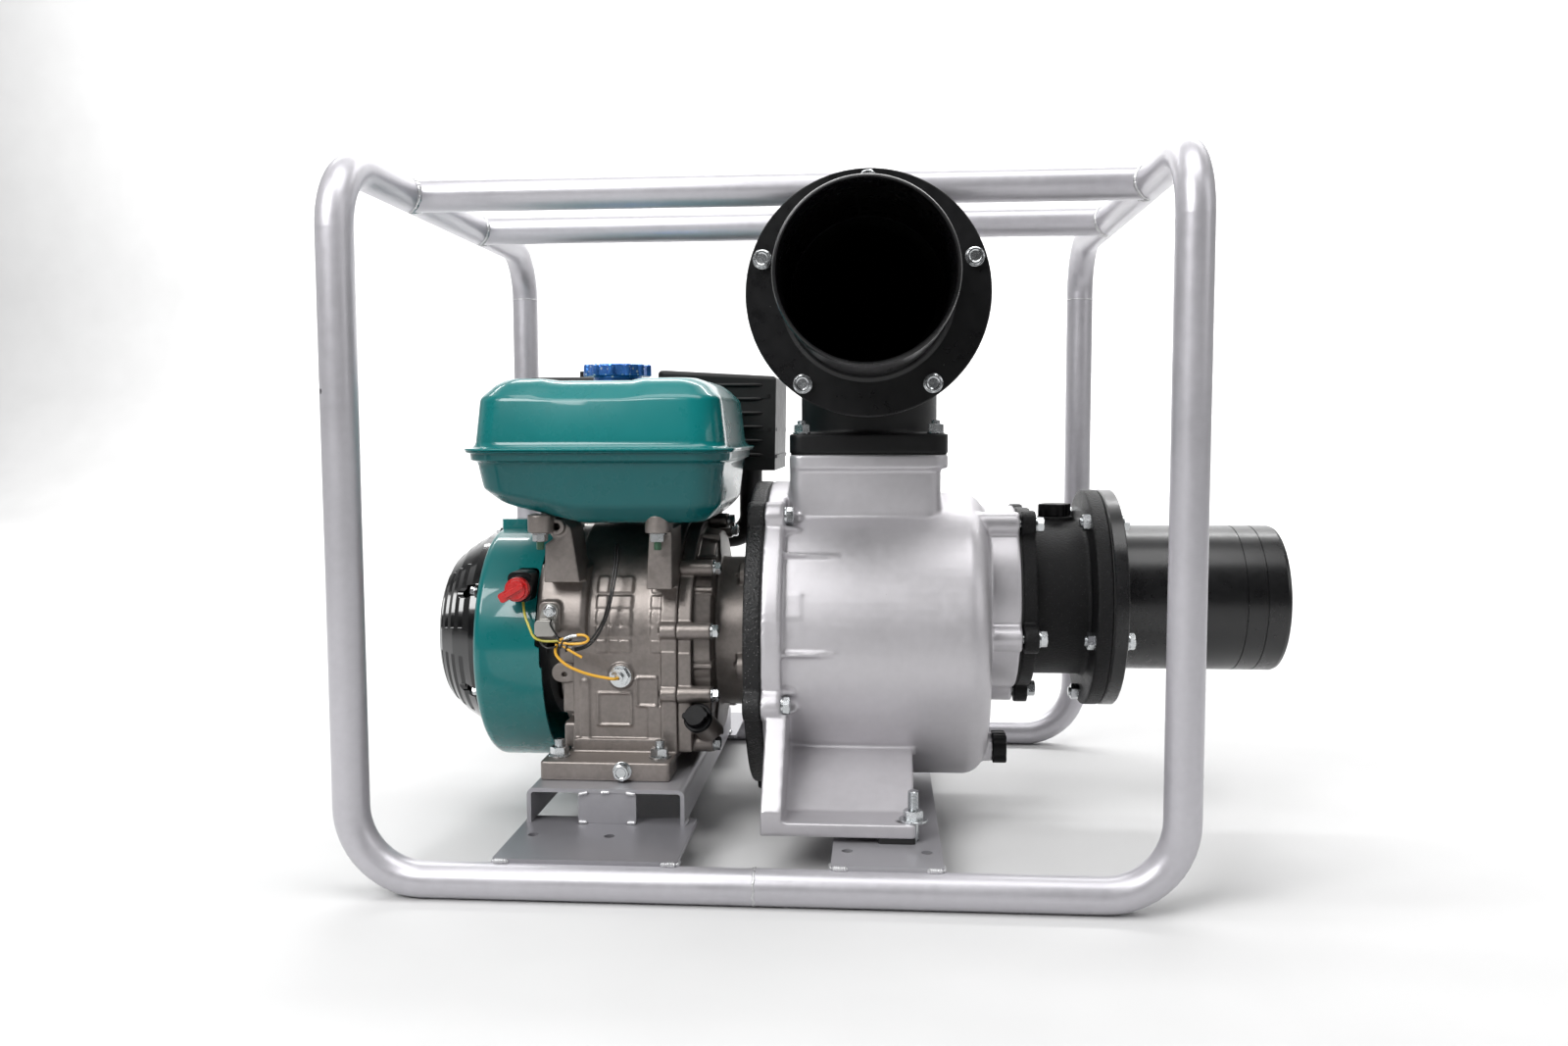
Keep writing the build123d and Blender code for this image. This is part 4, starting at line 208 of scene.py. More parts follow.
        # slow unevenness of a sheet or a thick paint: wave = (scale, height)
        wn = nt.nodes.new("ShaderNodeTexNoise")
        wn.inputs["Scale"].default_value = wave[0]
        wn.inputs["Detail"].default_value = 2
        nt.links.new(tc.outputs["Object"], wn.inputs["Vector"])
        wb = nt.nodes.new("ShaderNodeBump")
        wb.inputs["Strength"].default_value = 1.0
        wb.inputs["Distance"].default_value = wave[1]
        nt.links.new(wn.outputs["Fac"], wb.inputs["Height"])
        if last:
            nt.links.new(last.outputs["Normal"], wb.inputs["Normal"])
        last = wb
    if last:
        nt.links.new(last.outputs["Normal"], bsdf.inputs["Normal"])
    MATS[name] = m
    return m


material("frame_silver", (0.50, 0.49, 0.52, 1), rough=0.38, metal=0.5, coat=0.12, coat_rough=0.3, var=0.05,
         grain=(900, 0.00006, 0.4), wave=(24, 0.00007))
material("plate_silver", (0.27, 0.265, 0.285, 1), rough=0.38, metal=0.5, coat=0.12, coat_rough=0.3, var=0.05,
         grain=(900, 0.00006, 0.4), wave=(24, 0.00007))
material("channel_silver", (0.37, 0.365, 0.385, 1), rough=0.38, metal=0.5, coat=0.12, coat_rough=0.3, var=0.05,
         grain=(900, 0.00006, 0.4), wave=(24, 0.00007))
material("casing_silver", (0.565, 0.55, 0.572, 1), rough=0.42, metal=0.6, var=0.04,
         grain=(1100, 0.0001, 0.5), wave=(16, 0.00025), speck=((0.25, 0.25, 0.26), 60, 0.018))
material("weld_silver", (0.60, 0.60, 0.61, 1), rough=0.3, metal=0.7, var=0.1, grain=(500, 0.0001, 0.4))
# the bright grey specks of this black wrinkle paint are painted glints, the sparkle of light on the wrinkle grain
material("black_wrinkle", (0.005, 0.005, 0.0055, 1), rough=0.46, var=0.25, var_scale=40, spec=0.22,
         grain=(520, 0.0009, 1.0), speck=((0.11, 0.11, 0.11), 380, 0.10))
# the bright grey specks of this coarse black paint are painted glints, the sparkle of light on the cast grain
material("black_coarse", (0.006, 0.006, 0.0065, 1), rough=0.36, var=0.3, var_scale=40, spec=0.45,
         grain=(330, 0.0016, 1.0), speck=((0.30, 0.29, 0.29), 330, 0.13))
material("black_elbow", (0.005, 0.005, 0.0055, 1), rough=0.44, var=0.2, spec=0.32, grain=(900, 0.0003, 0.7))
material("black_satin", (0.0045, 0.0045, 0.005, 1), rough=0.30, var=0.2, spec=0.4, grain=(1200, 0.00003, 0.25),
         speck=((0.30, 0.30, 0.29), 75, 0.028), wave=(20, 0.00006))
material("black_stub", (0.005, 0.005, 0.0055, 1), rough=0.30, var=0.2, spec=0.5, coat=0.15, coat_rough=0.2,
         grain=(1400, 0.00001, 0.12))
material("zinc", (0.60, 0.62, 0.63, 1), rough=0.24, metal=1.0, var=0.14, var_scale=60, rough_var=0.1,
         grain=(1400, 0.00004, 0.3))
material("engine_alu", (0.255, 0.228, 0.212, 1), rough=0.40, metal=0.72, var=0.16, var_scale=16,
         grain=(800, 0.00022, 0.6), dirt=((0.16, 0.14, 0.125), 26, 0.56, 0.86))
material("alu_clean", (0.46, 0.44, 0.42, 1), rough=0.38, metal=0.85, var=0.08, grain=(700, 0.0001, 0.4))
material("teal", (0.003, 0.165, 0.165, 1), rough=0.28, coat=0.55, coat_rough=0.04, var=0.03, var_scale=4, spec=0.3,
         rough_var=0.04, grain=(420, 0.00003, 0.2), wave=(12, 0.00012))
# painted shade: this darker copy of the teal paint goes on the lower tank shell, which is the same teal as the upper
# shell but gets less light from above
material("teal_shaded_lower", (0.001, 0.088, 0.092, 1), rough=0.28, coat=0.30, coat_rough=0.05, var=0.03, var_scale=4, spec=0.22,
         rough_var=0.04, grain=(420, 0.00003, 0.2), wave=(12, 0.00012))
material("gloss_black", (0.004, 0.004, 0.0045, 1), rough=0.16, coat=0.7, coat_rough=0.05, var=0.1,
         grain=(500, 0.00003, 0.2), wave=(14, 0.00015))
material("heat_black", (0.007, 0.007, 0.007, 1), rough=0.45, var=0.2, spec=0.35, grain=(700, 0.0001, 0.4), wave=(12, 0.0002))
material("matte_black", (0.008, 0.008, 0.009, 1), rough=0.5, var=0.15, spec=0.35, grain=(900, 0.0001, 0.4))
material("cap_black", (0.004, 0.004, 0.0045, 1), rough=0.30, var=0.15, spec=0.07, grain=(700, 0.00004, 0.3))
material("knob_black", (0.006, 0.006, 0.0065, 1), rough=0.42, var=0.15, spec=0.22, grain=(600, 0.00006, 0.3))
# the white specks of the blue cap are partly its real white fleck and partly painted highlight
material("cap_blue", (0.07, 0.24, 0.78, 1), rough=0.20, metal=0.7, coat=0.6, coat_rough=0.06, var=0.45, var_scale=60,
         grain=(160, 0.0012, 0.9), speck=((0.75, 0.86, 1.0), 150, 0.24))
material("red_plastic", (0.56, 0.012, 0.012, 1), rough=0.30, coat=0.25, coat_rough=0.15, var=0.06,
         grain=(300, 0.00008, 0.3))
material("rubber", (0.010, 0.010, 0.010, 1), rough=0.65, var=0.15, grain=(900, 0.0001, 0.5))
material("wire_black", (0.008, 0.008, 0.008, 1), rough=0.35, coat=0.3, coat_rough=0.2, var=0.15,
         grain=(500, 0.00005, 0.3))
material("wire_yellow", (0.58, 0.52, 0.07, 1), rough=0.35, coat=0.3, coat_rough=0.2, var=0.08, grain=(400, 0.00005, 0.3))
material("wire_orange", (0.80, 0.42, 0.03, 1), rough=0.35, coat=0.3, coat_rough=0.2, var=0.08, grain=(400, 0.00005, 0.3))
material("clip_grey", (0.40, 0.39, 0.365, 1), rough=0.35, metal=0.6, var=0.08, grain=(500, 0.00008, 0.4))
material("steel", (0.36, 0.36, 0.37, 1), rough=0.30, metal=1.0, var=0.1, grain=(900, 0.00005, 0.3))
material("cast_iron", (0.10, 0.10, 0.105, 1), rough=0.55, metal=0.7, var=0.15, grain=(600, 0.0002, 0.6))
material("ceramic", (0.62, 0.61, 0.57, 1), rough=0.2, coat=0.5, var=0.05, grain=(300, 0.00003, 0.2))
material("foam", (0.035, 0.035, 0.038, 1), rough=0.9, var=0.3, var_scale=80, grain=(450, 0.0012, 1.0))
material("hole_dark", (0.004, 0.004, 0.004, 1), rough=0.8, var=0.2, grain=(400, 0.0001, 0.3))
material("stud_green", (0.10, 0.20, 0.13, 1), rough=0.35, metal=0.6, var=0.2, grain=(700, 0.0001, 0.4))
material("rust_plate", (0.42, 0.42, 0.44, 1), rough=0.40, metal=0.5, var=0.06, grain=(700, 0.0001, 0.4),
         dirt=((0.16, 0.07, 0.05), 40, 0.66, 0.9))

NODE_MAT = {
    "frame_loop_left": "frame_silver", "frame_loop_right": "frame_silver", "top_rails": "frame_silver",
    "engine_base_plates": "plate_silver", "pump_base_plate": "channel_silver", "engine_channel": "channel_silver",
    "pump_casing": "casing_silver", "pump_adapter": "black_coarse", "suction_housing": "black_wrinkle",
    "discharge_elbow": "black_elbow", "suction_stub": "black_stub", "discharge_stub": "black_satin",
    "foot_bolts": "zinc", "pump_case_bolts": "zinc", "hose_flange_bolts": "zinc", "engine_cover_bolts": "zinc",
    "oil_drain_bolt": "zinc", "oil_level_sender": "zinc", "crankcase": "engine_alu",
    "crankcase_side_cover": "engine_alu", "cylinder_head": "engine_alu", "carburettor": "alu_clean",
    "recoil_cover": "gloss_black", "muffler": "heat_black", "muffler_shield": "heat_black",
    "rocker_cover": "alu_clean", "fuel_tank_upper": "teal", "fuel_tank_lower": "teal_shaded_lower", "fan_shroud": "teal",
    "fuel_cap": "cap_blue", "air_cleaner_base": "matte_black", "air_cleaner_cover": "matte_black",
    "stop_switch_body": "knob_black", "oil_filler_cap": "cap_black", "recoil_grip": "knob_black",
    "priming_plug": "knob_black", "drain_plug": "knob_black", "cooling_fan": "matte_black",
    "recoil_reel": "matte_black", "choke_lever": "knob_black", "stop_switch_knob": "red_plastic",
    "air_filter_element": "foam", "crankshaft": "steel", "camshaft": "steel", "connecting_rod": "steel",
    "main_bearings": "steel", "starter_cup": "steel", "mechanical_seal": "ceramic", "flywheel": "cast_iron",
    "impeller": "cast_iron", "volute": "cast_iron", "piston": "alu_clean", "gaskets": "rubber",
    "check_valve_flap": "rubber", "wire_clip": "clip_grey", "spark_plug": "ceramic",
    "stop_switch_wire": "wire_yellow", "oil_sender_wire": "wire_orange", "ignition_harness": "wire_black",
}


def paint(me, mat):
    me.materials.clear()
    me.materials.append(MATS[mat])
    for p in me.polygons:
        p.material_index = 0


def smooth(me, angle=35):
    me.shade_smooth()
    me.set_sharp_from_angle(angle=radians(angle))


def link(name, me, mat=None, body="pump_set", rep=(), angle=35, slot=None):
    ob = bpy.data.objects.new(name, me)
    scene.collection.objects.link(ob)
    if mat:
        paint(me, mat)
    if angle:
        smooth(me, angle)
    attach(ob, body)
    if rep:
        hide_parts(*rep)
    return ob


def from_bm(name, bm, **kw):
    bmesh.ops.recalc_face_normals(bm, faces=bm.faces[:])
    me = bpy.data.meshes.new(name)
    bm.to_mesh(me)
    bm.free()
    return link(name, me, **kw)


def add_mesh(bm, me):
    bm.from_mesh(me)


def baked(src_mesh, mods):
    """mesh after a list of (type, settings) modifiers"""
    tmp = bpy.data.objects.new("tmp", src_mesh)
    scene.collection.objects.link(tmp)
    for kind, settings in mods:
        md = tmp.modifiers.new(kind, kind)
        for k, v in settings.items():
            setattr(md, k, v)
    dg = bpy.context.evaluated_depsgraph_get()
    out = bpy.data.meshes.new_from_object(tmp.evaluated_get(dg))
    bpy.data.objects.remove(tmp)
    return out


def cast(node, voxel, iters, factor=0.5, extra=None, mat=None, name=None):
    """cast version of a CAD node: remeshed so that every edge gets a small radius"""
    bm = bmesh.new()
    bm.from_mesh(N[node].data)
    if extra:
        extra(bm)
    me = bpy.data.meshes.new(node + "_raw")
    bm.to_mesh(me)
    bm.free()
    out = baked(me, [("REMESH", {"mode": "VOXEL", "voxel_size": voxel, "use_smooth_shade": True}),
                     ("SMOOTH", {"factor": factor, "iterations": iters})])
    return link(name or node + "_cast", out, mat or NODE_MAT[node], BODY[node], rep=(node,), angle=None)


# ------------------------------------------------ solids written as meshes --
def frame_of(axis):
    a = Vector(axis).normalized()
    h = Vector((0, 0, 1)) if abs(a.z) < 0.9 else Vector((1, 0, 0))
    x = h.cross(a).normalized()
    return x, a.cross(x), a


def bm_rings(bm, rings, closed=True, cap0=True, cap1=True):
    """skin a list of equal-length rings of points"""
    vs = [[bm.verts.new(p) for p in r] for r in rings]
    n = len(vs[0])
    for a, b in zip(vs, vs[1:]):
        for i in range(n if closed else n - 1):
            j = (i + 1) % n
            bm.faces.new((a[i], a[j], b[j], b[i]))
    if cap0:
        bm.faces.new(list(reversed(vs[0])))
    if cap1:
        bm.faces.new(vs[-1])
    return vs


def bm_lathe(bm, origin, axis, profile, segs=48, loop=False):
    """profile: (distance along axis mm, radius mm)"""
    x, y, a = frame_of(axis)
    o = Vector(origin)
    rings = []
    for t, r in profile:
        rings.append([o + a * t * MM + (x * cos(2 * pi * k / segs) + y * sin(2 * pi * k / segs)) * r * MM
                      for k in range(segs)])
    if loop:
        rings.append(rings[0])
        vs = [[bm.verts.new(p) for p in r] for r in rings[:-1]]
        vs.append(vs[0])
        for p, q in zip(vs, vs[1:]):
            for i in range(segs):
                j = (i + 1) % segs
                bm.faces.new((p[i], p[j], q[j], q[i]))
    else:
        bm_rings(bm, rings)


def bm_hex(bm, origin, axis, af, h, turn=0.0, chamfer=True, dish=False, segs=48):
    """hexagon head or nut: half width across flats af, height h"""
    x, y, a = frame_of(axis)
    o = Vector(origin)
    r0 = af * 0.97

    def ring(hh, shrink=0.0, rmax=None, cone=False):
        out = []
        for k in range(segs):
            t = 2 * pi * k / segs
            u = (t + pi / 6) % (pi / 3) - pi / 6
            r = af / cos(u) - shrink
            if rmax:
                r = min(r, rmax)
            z = hh
            if cone and r > r0:
                z = hh - (r - r0) * 0.62
            tt = t + turn
            out.append(o + a * z * MM + (x * cos(tt) + y * sin(tt)) * r * MM)
        return out
    rings = [ring(0, cone=False), ring(h, cone=True), ring(h, rmax=r0)]
    if dish:
        rings += [ring(h, rmax=r0 * 0.8), ring(h - 0.7, rmax=r0 * 0.66), ring(h - 0.7, rmax=r0 * 0.2)]
    bm_rings(bm, rings)


def bm_thread(bm, origin, axis, r, length, pitch=1.25, segs=24):
    """stud end with rolled thread crests"""
    prof, t = [(0, r)], 0.0
    while t < length - 1.2:
        prof += [(t + pitch * 0.25, r), (t + pitch * 0.5, r * 0.88), (t + pitch * 0.75, r * 0.88), (t + pitch, r)]
        t += pitch
    prof += [(length - 0.8, r), (length, r * 0.8)]
    bm_lathe(bm, origin, axis, prof, segs)


def bm_washer(bm, origin, axis, r, t, bore=None, segs=40):
    b = bore or r * 0.4
    bm_lathe(bm, origin, axis, [(0, b), (0, r - 0.3), (0.3, r), (t - 0.3, r), (t, r - 0.4), (t, b)], segs, loop=True)


def bm_bolt(bm, origin, axis, af, h, wr=None, wt=1.8, shank=None, turn=0.0, flange=None):
    """head on top of its washer, origin under the washer; shank goes backwards"""
    o, a = Vector(origin), Vector(axis).normalized()
    z = 0.0
    if shank:
        bm_lathe(bm, o - a * shank[1] * MM, a, [(0, shank[0] * 0.8), (0.8, shank[0]), (shank[1], shank[0])], 24)
    if wr:
        bm_washer(bm, o, a, wr, wt)
        z += wt
    if flange:
        bm_lathe(bm, o + a * z * MM, a, [(0, flange), (0.9, flange), (2.2, af * 1.02), (2.2, af * 0.5)], 40)
    bm_hex(bm, o + a * z * MM, a, af, h, turn, dish=True)


def rrect(w, d, r, nc=10, ns=8):
    """rounded rectangle outline, counter-clockwise, equal point count for any size"""
    pts = []
    hx, hy = w / 2, d / 2
    corners = ((hx - r, hy - r, 0), (-hx + r, hy - r, 90), (-hx + r, -hy + r, 180), (hx - r, -hy + r, 270))
    for ci, (cx, cy, a0) in enumerate(corners):
        for k in range(nc + 1):
            a = radians(a0 + 90 * k / nc)
            pts.append((cx + r * cos(a), cy + r * sin(a)))
        nx, ny, na = corners[(ci + 1) % 4]
        ax, ay = pts[-1]
        a = radians(na)
        bx, by = nx + r * cos(a), ny + r * sin(a)
        for k in range(1, ns):
            pts.append((ax + (bx - ax) * k / ns, ay + (by - ay) * k / ns))
    return pts


def tube_mesh(bm, pts, r, segs=16, closed=False):
    """round tube along points in metres, parallel frames, capped"""
    n = len(pts)
    t = [(pts[min(i + 1, n - 1)] - pts[max(i - 1, 0)]).normalized() for i in range(n)]
    h = Vector((0, 0, 1)) if abs(t[0].z) < 0.9 else Vector((1, 0, 0))
    x = (h - t[0] * h.dot(t[0])).normalized()
    rings = []
    for i in range(n):
        x = (x - t[i] * x.dot(t[i])).normalized()
        y = t[i].cross(x)
        rr = r[i] if isinstance(r, (list, tuple)) else r
        rings.append([pts[i] + (x * cos(2 * pi * k / segs) + y * sin(2 * pi * k / segs)) * rr * MM
                      for k in range(segs)])
    bm_rings(bm, rings)


def nurbs(points, res=8):
    """smooth line through a control polygon, as points"""
    cu = bpy.data.curves.new("route", "CURVE")
    cu.dimensions = "3D"
    sp = cu.splines.new("NURBS")
    sp.points.add(len(points) - 1)
    for q, p in zip(sp.points, points):
        q.co = (p.x, p.y, p.z, 1)
    sp.order_u = 3
    sp.use_endpoint_u = True
    sp.resolution_u = res
    ob = bpy.data.objects.new("route", cu)
    scene.collection.objects.link(ob)
    bpy.context.view_layer.update()
    me = bpy.data.meshes.new_from_object(ob.evaluated_get(bpy.context.evaluated_depsgraph_get()))
    out = [v.co.copy() for v in me.vertices]
    bpy.data.objects.remove(ob)
    return out
# ---------------------------------------------------------- CAD carried over --
for name, ob in N.items():
    paint(ob.data, NODE_MAT[name])
    smooth(ob.data, 32)

CAD_LO, CAD_HI = Vector(cad_lo), Vector(cad_hi)


def keep_in_box(me, m=0.00005):
    for v in me.vertices:
        for i in range(3):
            v.co[i] = min(max(v.co[i], CAD_LO[i] + m), CAD_HI[i] - m)


# ------------------------------------------------------------- castings --
cast("pump_casing", 0.0019, 4, mat="casing_silver")
cast("crankcase", 0.0012, 2, mat="engine_alu")
cast("crankcase_side_cover", 0.0012, 2, mat="engine_alu")
cast("pump_adapter", 0.0018, 3, mat="black_coarse")
cast("suction_housing", 0.0017, 3, mat="black_wrinkle")
cast("discharge_elbow", 0.0018, 3, mat="black_elbow")
cast("fuel_cap", 0.0007, 2, mat="cap_blue")
cast("stop_switch_knob", 0.0004, 3, mat="red_plastic")
cast("stop_switch_body", 0.0005, 3, mat="knob_black")
cast("oil_filler_cap", 0.0005, 3, mat="cap_black")
cast("priming_plug", 0.0005, 3, mat="knob_black")
cast("drain_plug", 0.0005, 3, mat="knob_black")
cast("recoil_grip", 0.0007, 4, mat="knob_black")
cast("wire_clip", 0.0005, 3, mat="clip_grey")

# ------------------------------------------------------------- fuel tank --
TX, TY = -165.0, -56.0


def rounded_profile(pts, seg=7):
    """(inset, z, fillet) corners to a smooth polyline"""
    out = [Vector((pts[0][0], pts[0][1]))]
    for (a, b, c) in zip(pts, pts[1:], pts[2:]):
        pa, pb, pc = Vector(a[:2]), Vector(b[:2]), Vector(c[:2])
        d1, d2 = (pa - pb), (pc - pb)
        t = min(b[2], d1.length * 0.48, d2.length * 0.48)
        s, e = pb + d1.normalized() * t, pb + d2.normalized() * t
        for k in range(seg + 1):
            u = k / seg
            out.append((1 - u) ** 2 * s + 2 * u * (1 - u) * pb + u * u * e)
    out.append(Vector((pts[-1][0], pts[-1][1])))
    return out


def tank_shell(w, d, r, profile, close_at, warp=None):
    """rings from the seam outwards; the last ring shrinks to the middle"""
    bm = bmesh.new()
    rings = []
    for i, z in rounded_profile(profile):
        ww, dd = w - 2 * i, d - 2 * i
        rr = max(min(r - i * 0.45, ww / 2 - 1, dd / 2 - 1), 6)
        rings.append([(x, y, z) for x, y in rrect(ww, dd, rr, 12, 14)])
    last = rings[-1]
    for f in (0.86, 0.7, 0.5, 0.3, 0.12):
        rings.append([(x * f, y * f, z) for x, y, z in last])
    pts = []
    for ring in rings:
        row = []
        for x, y, z in ring:
            q = Vector((TX + x, TY + y, z))
            if warp:
                q = warp(q)
            row.append(P(*q))
        pts.append(row)
    bm_rings(bm, pts)
    return bm


def step01(a, b, x):
    t = min(1.0, max(0.0, (x - a) / (b - a)))
    return t * t * (3 - 2 * t)


def top_warp(q):
    # shallow trough across the top, and the faces a little crowned
    t = step01(-221, -213, q.x) * (1 - step01(-131, -123, q.x)) * step01(438, 447, q.z)
    q.z -= 2.4 * t
    c = step01(395, 420, q.z) * (1 - step01(430, 446, q.z))
    q.y += (q.y - TY) / 120 * 0.9 * c
    return q


def low_warp(q):
    w = min(1.0, max(0.0, (384 - q.z) / 62))
    t = min(1.0, max(0.0, (-184 - q.x) / 98))
    q.z += 24.0 * w * t
    return q


bm = tank_shell(264, 256, 36, [(0, 393.2, 0), (0, 395.0, 0.6), (6.5, 395.6, 2.2), (9.4, 400, 2.5), (14.0, 443.5, 3.6),
                               (28, 457.5, 6), (39, 463, 5), (60, 463, 1)], 463, top_warp)
from_bm("fuel_tank_upper_shell", bm, mat="teal", body=BODY["fuel_tank_upper"], rep=("fuel_tank_upper",), angle=60)
# the lower shell takes the darker teal copy, painted shade of the tank's underside
bm = tank_shell(262, 254, 35, [(0, 392.9, 0), (0, 391.2, 0.5), (3.6, 390.6, 1.2), (4.2, 383.5, 1.5), (9.2, 381.0, 2.0),
                               (10.2, 376, 2), (14.5, 339, 4.5), (29, 323.5, 6), (40, 322.2, 4), (60, 322.2, 1)], 322, low_warp)
from_bm("fuel_tank_lower_shell", bm, mat="teal_shaded_lower", body=BODY["fuel_tank_lower"], rep=("fuel_tank_lower",), angle=60)

# -------------------------------------------------------------- fasteners --
rnd = random.Random(7)
X_, Y_, Z_ = Vector((1, 0, 0)), Vector((0, 1, 0)), Vector((0, 0, 1))


def flange_head(bm, o, a, r_w, t_w, af, h):
    """hexagon head with its washer face, standing on a plain washer"""
    turn = rnd.uniform(0, pi / 3)
    bm_washer(bm, o, a, r_w, t_w, af * 0.4)
    o2 = Vector(o) + Vector(a) * t_w * MM
    bm_lathe(bm, o2, a, [(-0.05, af * 1.04), (0.7, af * 1.04), (0.7, af * 0.3)], 40)
    bm_hex(bm, o2 + Vector(a) * 0.6 * MM, a, af, h - 0.6, turn, dish=True)


def nut_end(bm, o, a, af, h, r_s, tip):
    """nut with the stud's thread standing out of it"""
    bm_hex(bm, o, a, af, h, rnd.uniform(0, pi / 3))
    bm_thread(bm, Vector(o) + Vector(a) * (h - 0.5) * MM, a, r_s, tip + 0.5)


bm = bmesh.new()
for a in ANG5F:
    px, pz = pol(103, a)
    c = lambda y: P(ELB_X + px, y, ELB_Z + pz)
    bm_lathe(bm, c(-145), -Y_, [(0, 4.9), (27.5, 4.9)], 20)
    flange_head(bm, c(-172), -Y_, 9, 1.8, 7.5, 6)
    nut_end(bm, c(-145.5), Y_, 7.5, 8, 4.9, 3)
for a in ANG5:
    py, pz = pol(103, a)
    c = lambda x: P(x, py, SUC_Z + pz)
    bm_lathe(bm, c(319), X_, [(0, 4.9), (31.5, 4.9)], 20)
    flange_head(bm, c(350), X_, 9, 1.8, 7.5, 6)
    nut_end(bm, c(319), -X_, 7.5, 8, 4.9, 2.5)
from_bm("hose_flange_bolt_set", bm, mat="zinc", rep=("hose_flange_bolts",), angle=30)

bm = bmesh.new()
for a in ANG5:
    py, pz = pol(82, a)
    bm_lathe(bm, P(-40, py, AXZ + pz), X_, [(0, 4.1), (31, 4.1), (31, 6.5), (38, 6.5)], 24)
    py, pz = pol(161, a)
    bm_lathe(bm, P(-22, py, AXZ + pz), X_, [(0, 5), (33.5, 5)], 20)
    flange_head(bm, P(11, py, AXZ + pz), X_, 9.5, 1.8, 8, 7)
    py, pz = pol(100, a)
    bm_lathe(bm, P(226, py, SUC_Z + pz), X_, [(0, 4.9), (38.5, 4.9)], 20)
    flange_head(bm, P(264, py, SUC_Z + pz), X_, 9, 1.8, 7, 7)
for ex in (-68, 68):
    for ey in (-68, 68):
        bm_washer(bm, P(ELB_X + ex, ey, 408), Z_, 9, 1.8, 3)
        bm_lathe(bm, P(ELB_X + ex, ey, 388), Z_, [(0, 4.9), (22, 4.9)], 20)
        nut_end(bm, P(ELB_X + ex, ey, 409.8), Z_, 7.5, 8, 4.9, 4)
from_bm("pump_case_bolt_set", bm, mat="zinc", rep=("pump_case_bolts",), angle=30)

bm = bmesh.new()
for bx, by in ((-212, -138), (-111, -138), (-212, 78), (-111, 78)):
    bm_hex(bm, P(bx, by, 66), -Z_, 8, 6.4, rnd.uniform(0, 1))
    bm_lathe(bm, P(bx, by, 66), Z_, [(0, 5), (26, 5)], 20)
    bm_washer(bm, P(bx, by, 88.6), Z_, 11, 2, 4)
    nut_end(bm, P(bx, by, 90.6), Z_, 8, 8, 5, 7.4)
for s in (-1, 1):
    bm_hex(bm, P(137, s * 214, 32), -Z_, 8, 6.4, 0.3)
    bm_lathe(bm, P(137, s * 214, 32), Z_, [(0, 5), (25, 5)], 20)
    bm_washer(bm, P(137, s * 214, 54), Z_, 13, 2.2, 4)
    nut_end(bm, P(137, s * 214, 56.2), Z_, 8, 8, 5, 17.8)
from_bm("foot_bolt_set", bm, mat="zinc", rep=("foot_bolts",), angle=30)

bm = bmesh.new()
for py, pz in ((-118, 17), (-118, -47), (-93, 78), (-104, -100), (30, 117), (60, 104), (112, -47), (90, -96)):
    o = P(-61.6, py, AXZ + pz)
    bm_lathe(bm, P(-110, py, AXZ + pz), X_, [(0, 3.9), (48.8, 3.9)], 20)
    flange_head(bm, o, X_, 8, 1.6, 6, 6)
for a in (30, 90, 150, 210, 270, 330):
    py, pz = pol(103, a)
    bm_washer(bm, P(-309.1, py, AXZ + pz), -X_, 6.5, 1.5, 2)
    bm_hex(bm, P(-310.6, py, AXZ + pz), -X_, 4.9, 4.4, rnd.uniform(0, 1), dish=True)
bm_lathe(bm, P(-220.5, -134.3, 233), -Y_, [(0, 2), (0, 6.5), (0.4, 6.7), (1.3, 6.3), (2.2, 5.0)], 32)
bm_hex(bm, P(-220.5, -135.7, 233), -Y_, 4.6, 4, 0.4, dish=True)
for bx in (-225, -109):
    bm_washer(bm, P(bx, -148, 312.8), -Z_, 9, 1.6, 3)
    bm_hex(bm, P(bx, -148, 311.2), -Z_, 6.5, 7, rnd.uniform(0, 1))
from_bm("engine_cover_bolt_set", bm, mat="zinc", rep=("engine_cover_bolts",), angle=30)
bm = bmesh.new()
for bx in (-225, -109):
    bm_thread(bm, P(bx, -148, 330), -Z_, 3.9, 33.8, 1.0)
from_bm("tank_stud_ends", bm, mat="stud_green", angle=30)
bm = bmesh.new()
bm_lathe(bm, P(-144, -150, 80.6), -Y_, [(0, 5), (12, 5)], 20)
bm_washer(bm, P(-144, -161, 80.6), -Y_, 9.4, 1.4, 3)
bm_lathe(bm, P(-144, -162.4, 80.6), -Y_, [(0, 8.6), (0.8, 8.6), (0.8, 3)], 32)
bm_hex(bm, P(-144, -163, 80.6), -Y_, 7.2, 6.8, 0.22, dish=True)
from_bm("oil_drain_bolt_head", bm, mat="zinc", body=BODY["oil_drain_bolt"], rep=("oil_drain_bolt",), angle=30)

# ------------------------------------------------------------ frame welds --
def bead(bm, pts, r, seed, closed=False, ripple=1.9):
    """weld bead: a tube whose radius ripples along its run"""
    rg = random.Random(seed)
    fine, acc = [], 0.0
    for a, b in zip(pts, pts[1:]):
        n = max(1, int((b - a).length / 0.0006))
        fine += [a.lerp(b, k / n) for k in range(n)]
    fine.append(pts[-1])
    rad, L, ph = [], 0.0, rg.uniform(0, 6)
    for i, q in enumerate(fine):
        if i:
            L += (q - fine[i - 1]).length * 1000
        lump = noise.noise(Vector((L * 0.16, seed * 3.1, 0.0)))
        rad.append(r * (1 + 0.13 * sin(2 * pi * L / ripple + ph) + 0.30 * lump))
    n = len(rad)
    for i in range(n):
        e = min(i, n - 1 - i) * 0.6
        if not closed and e < r:
            rad[i] *= max(0.35, sqrt(max(0.0, 1 - (1 - e / r) ** 2)))
    tube_mesh(bm, fine, rad, 10)


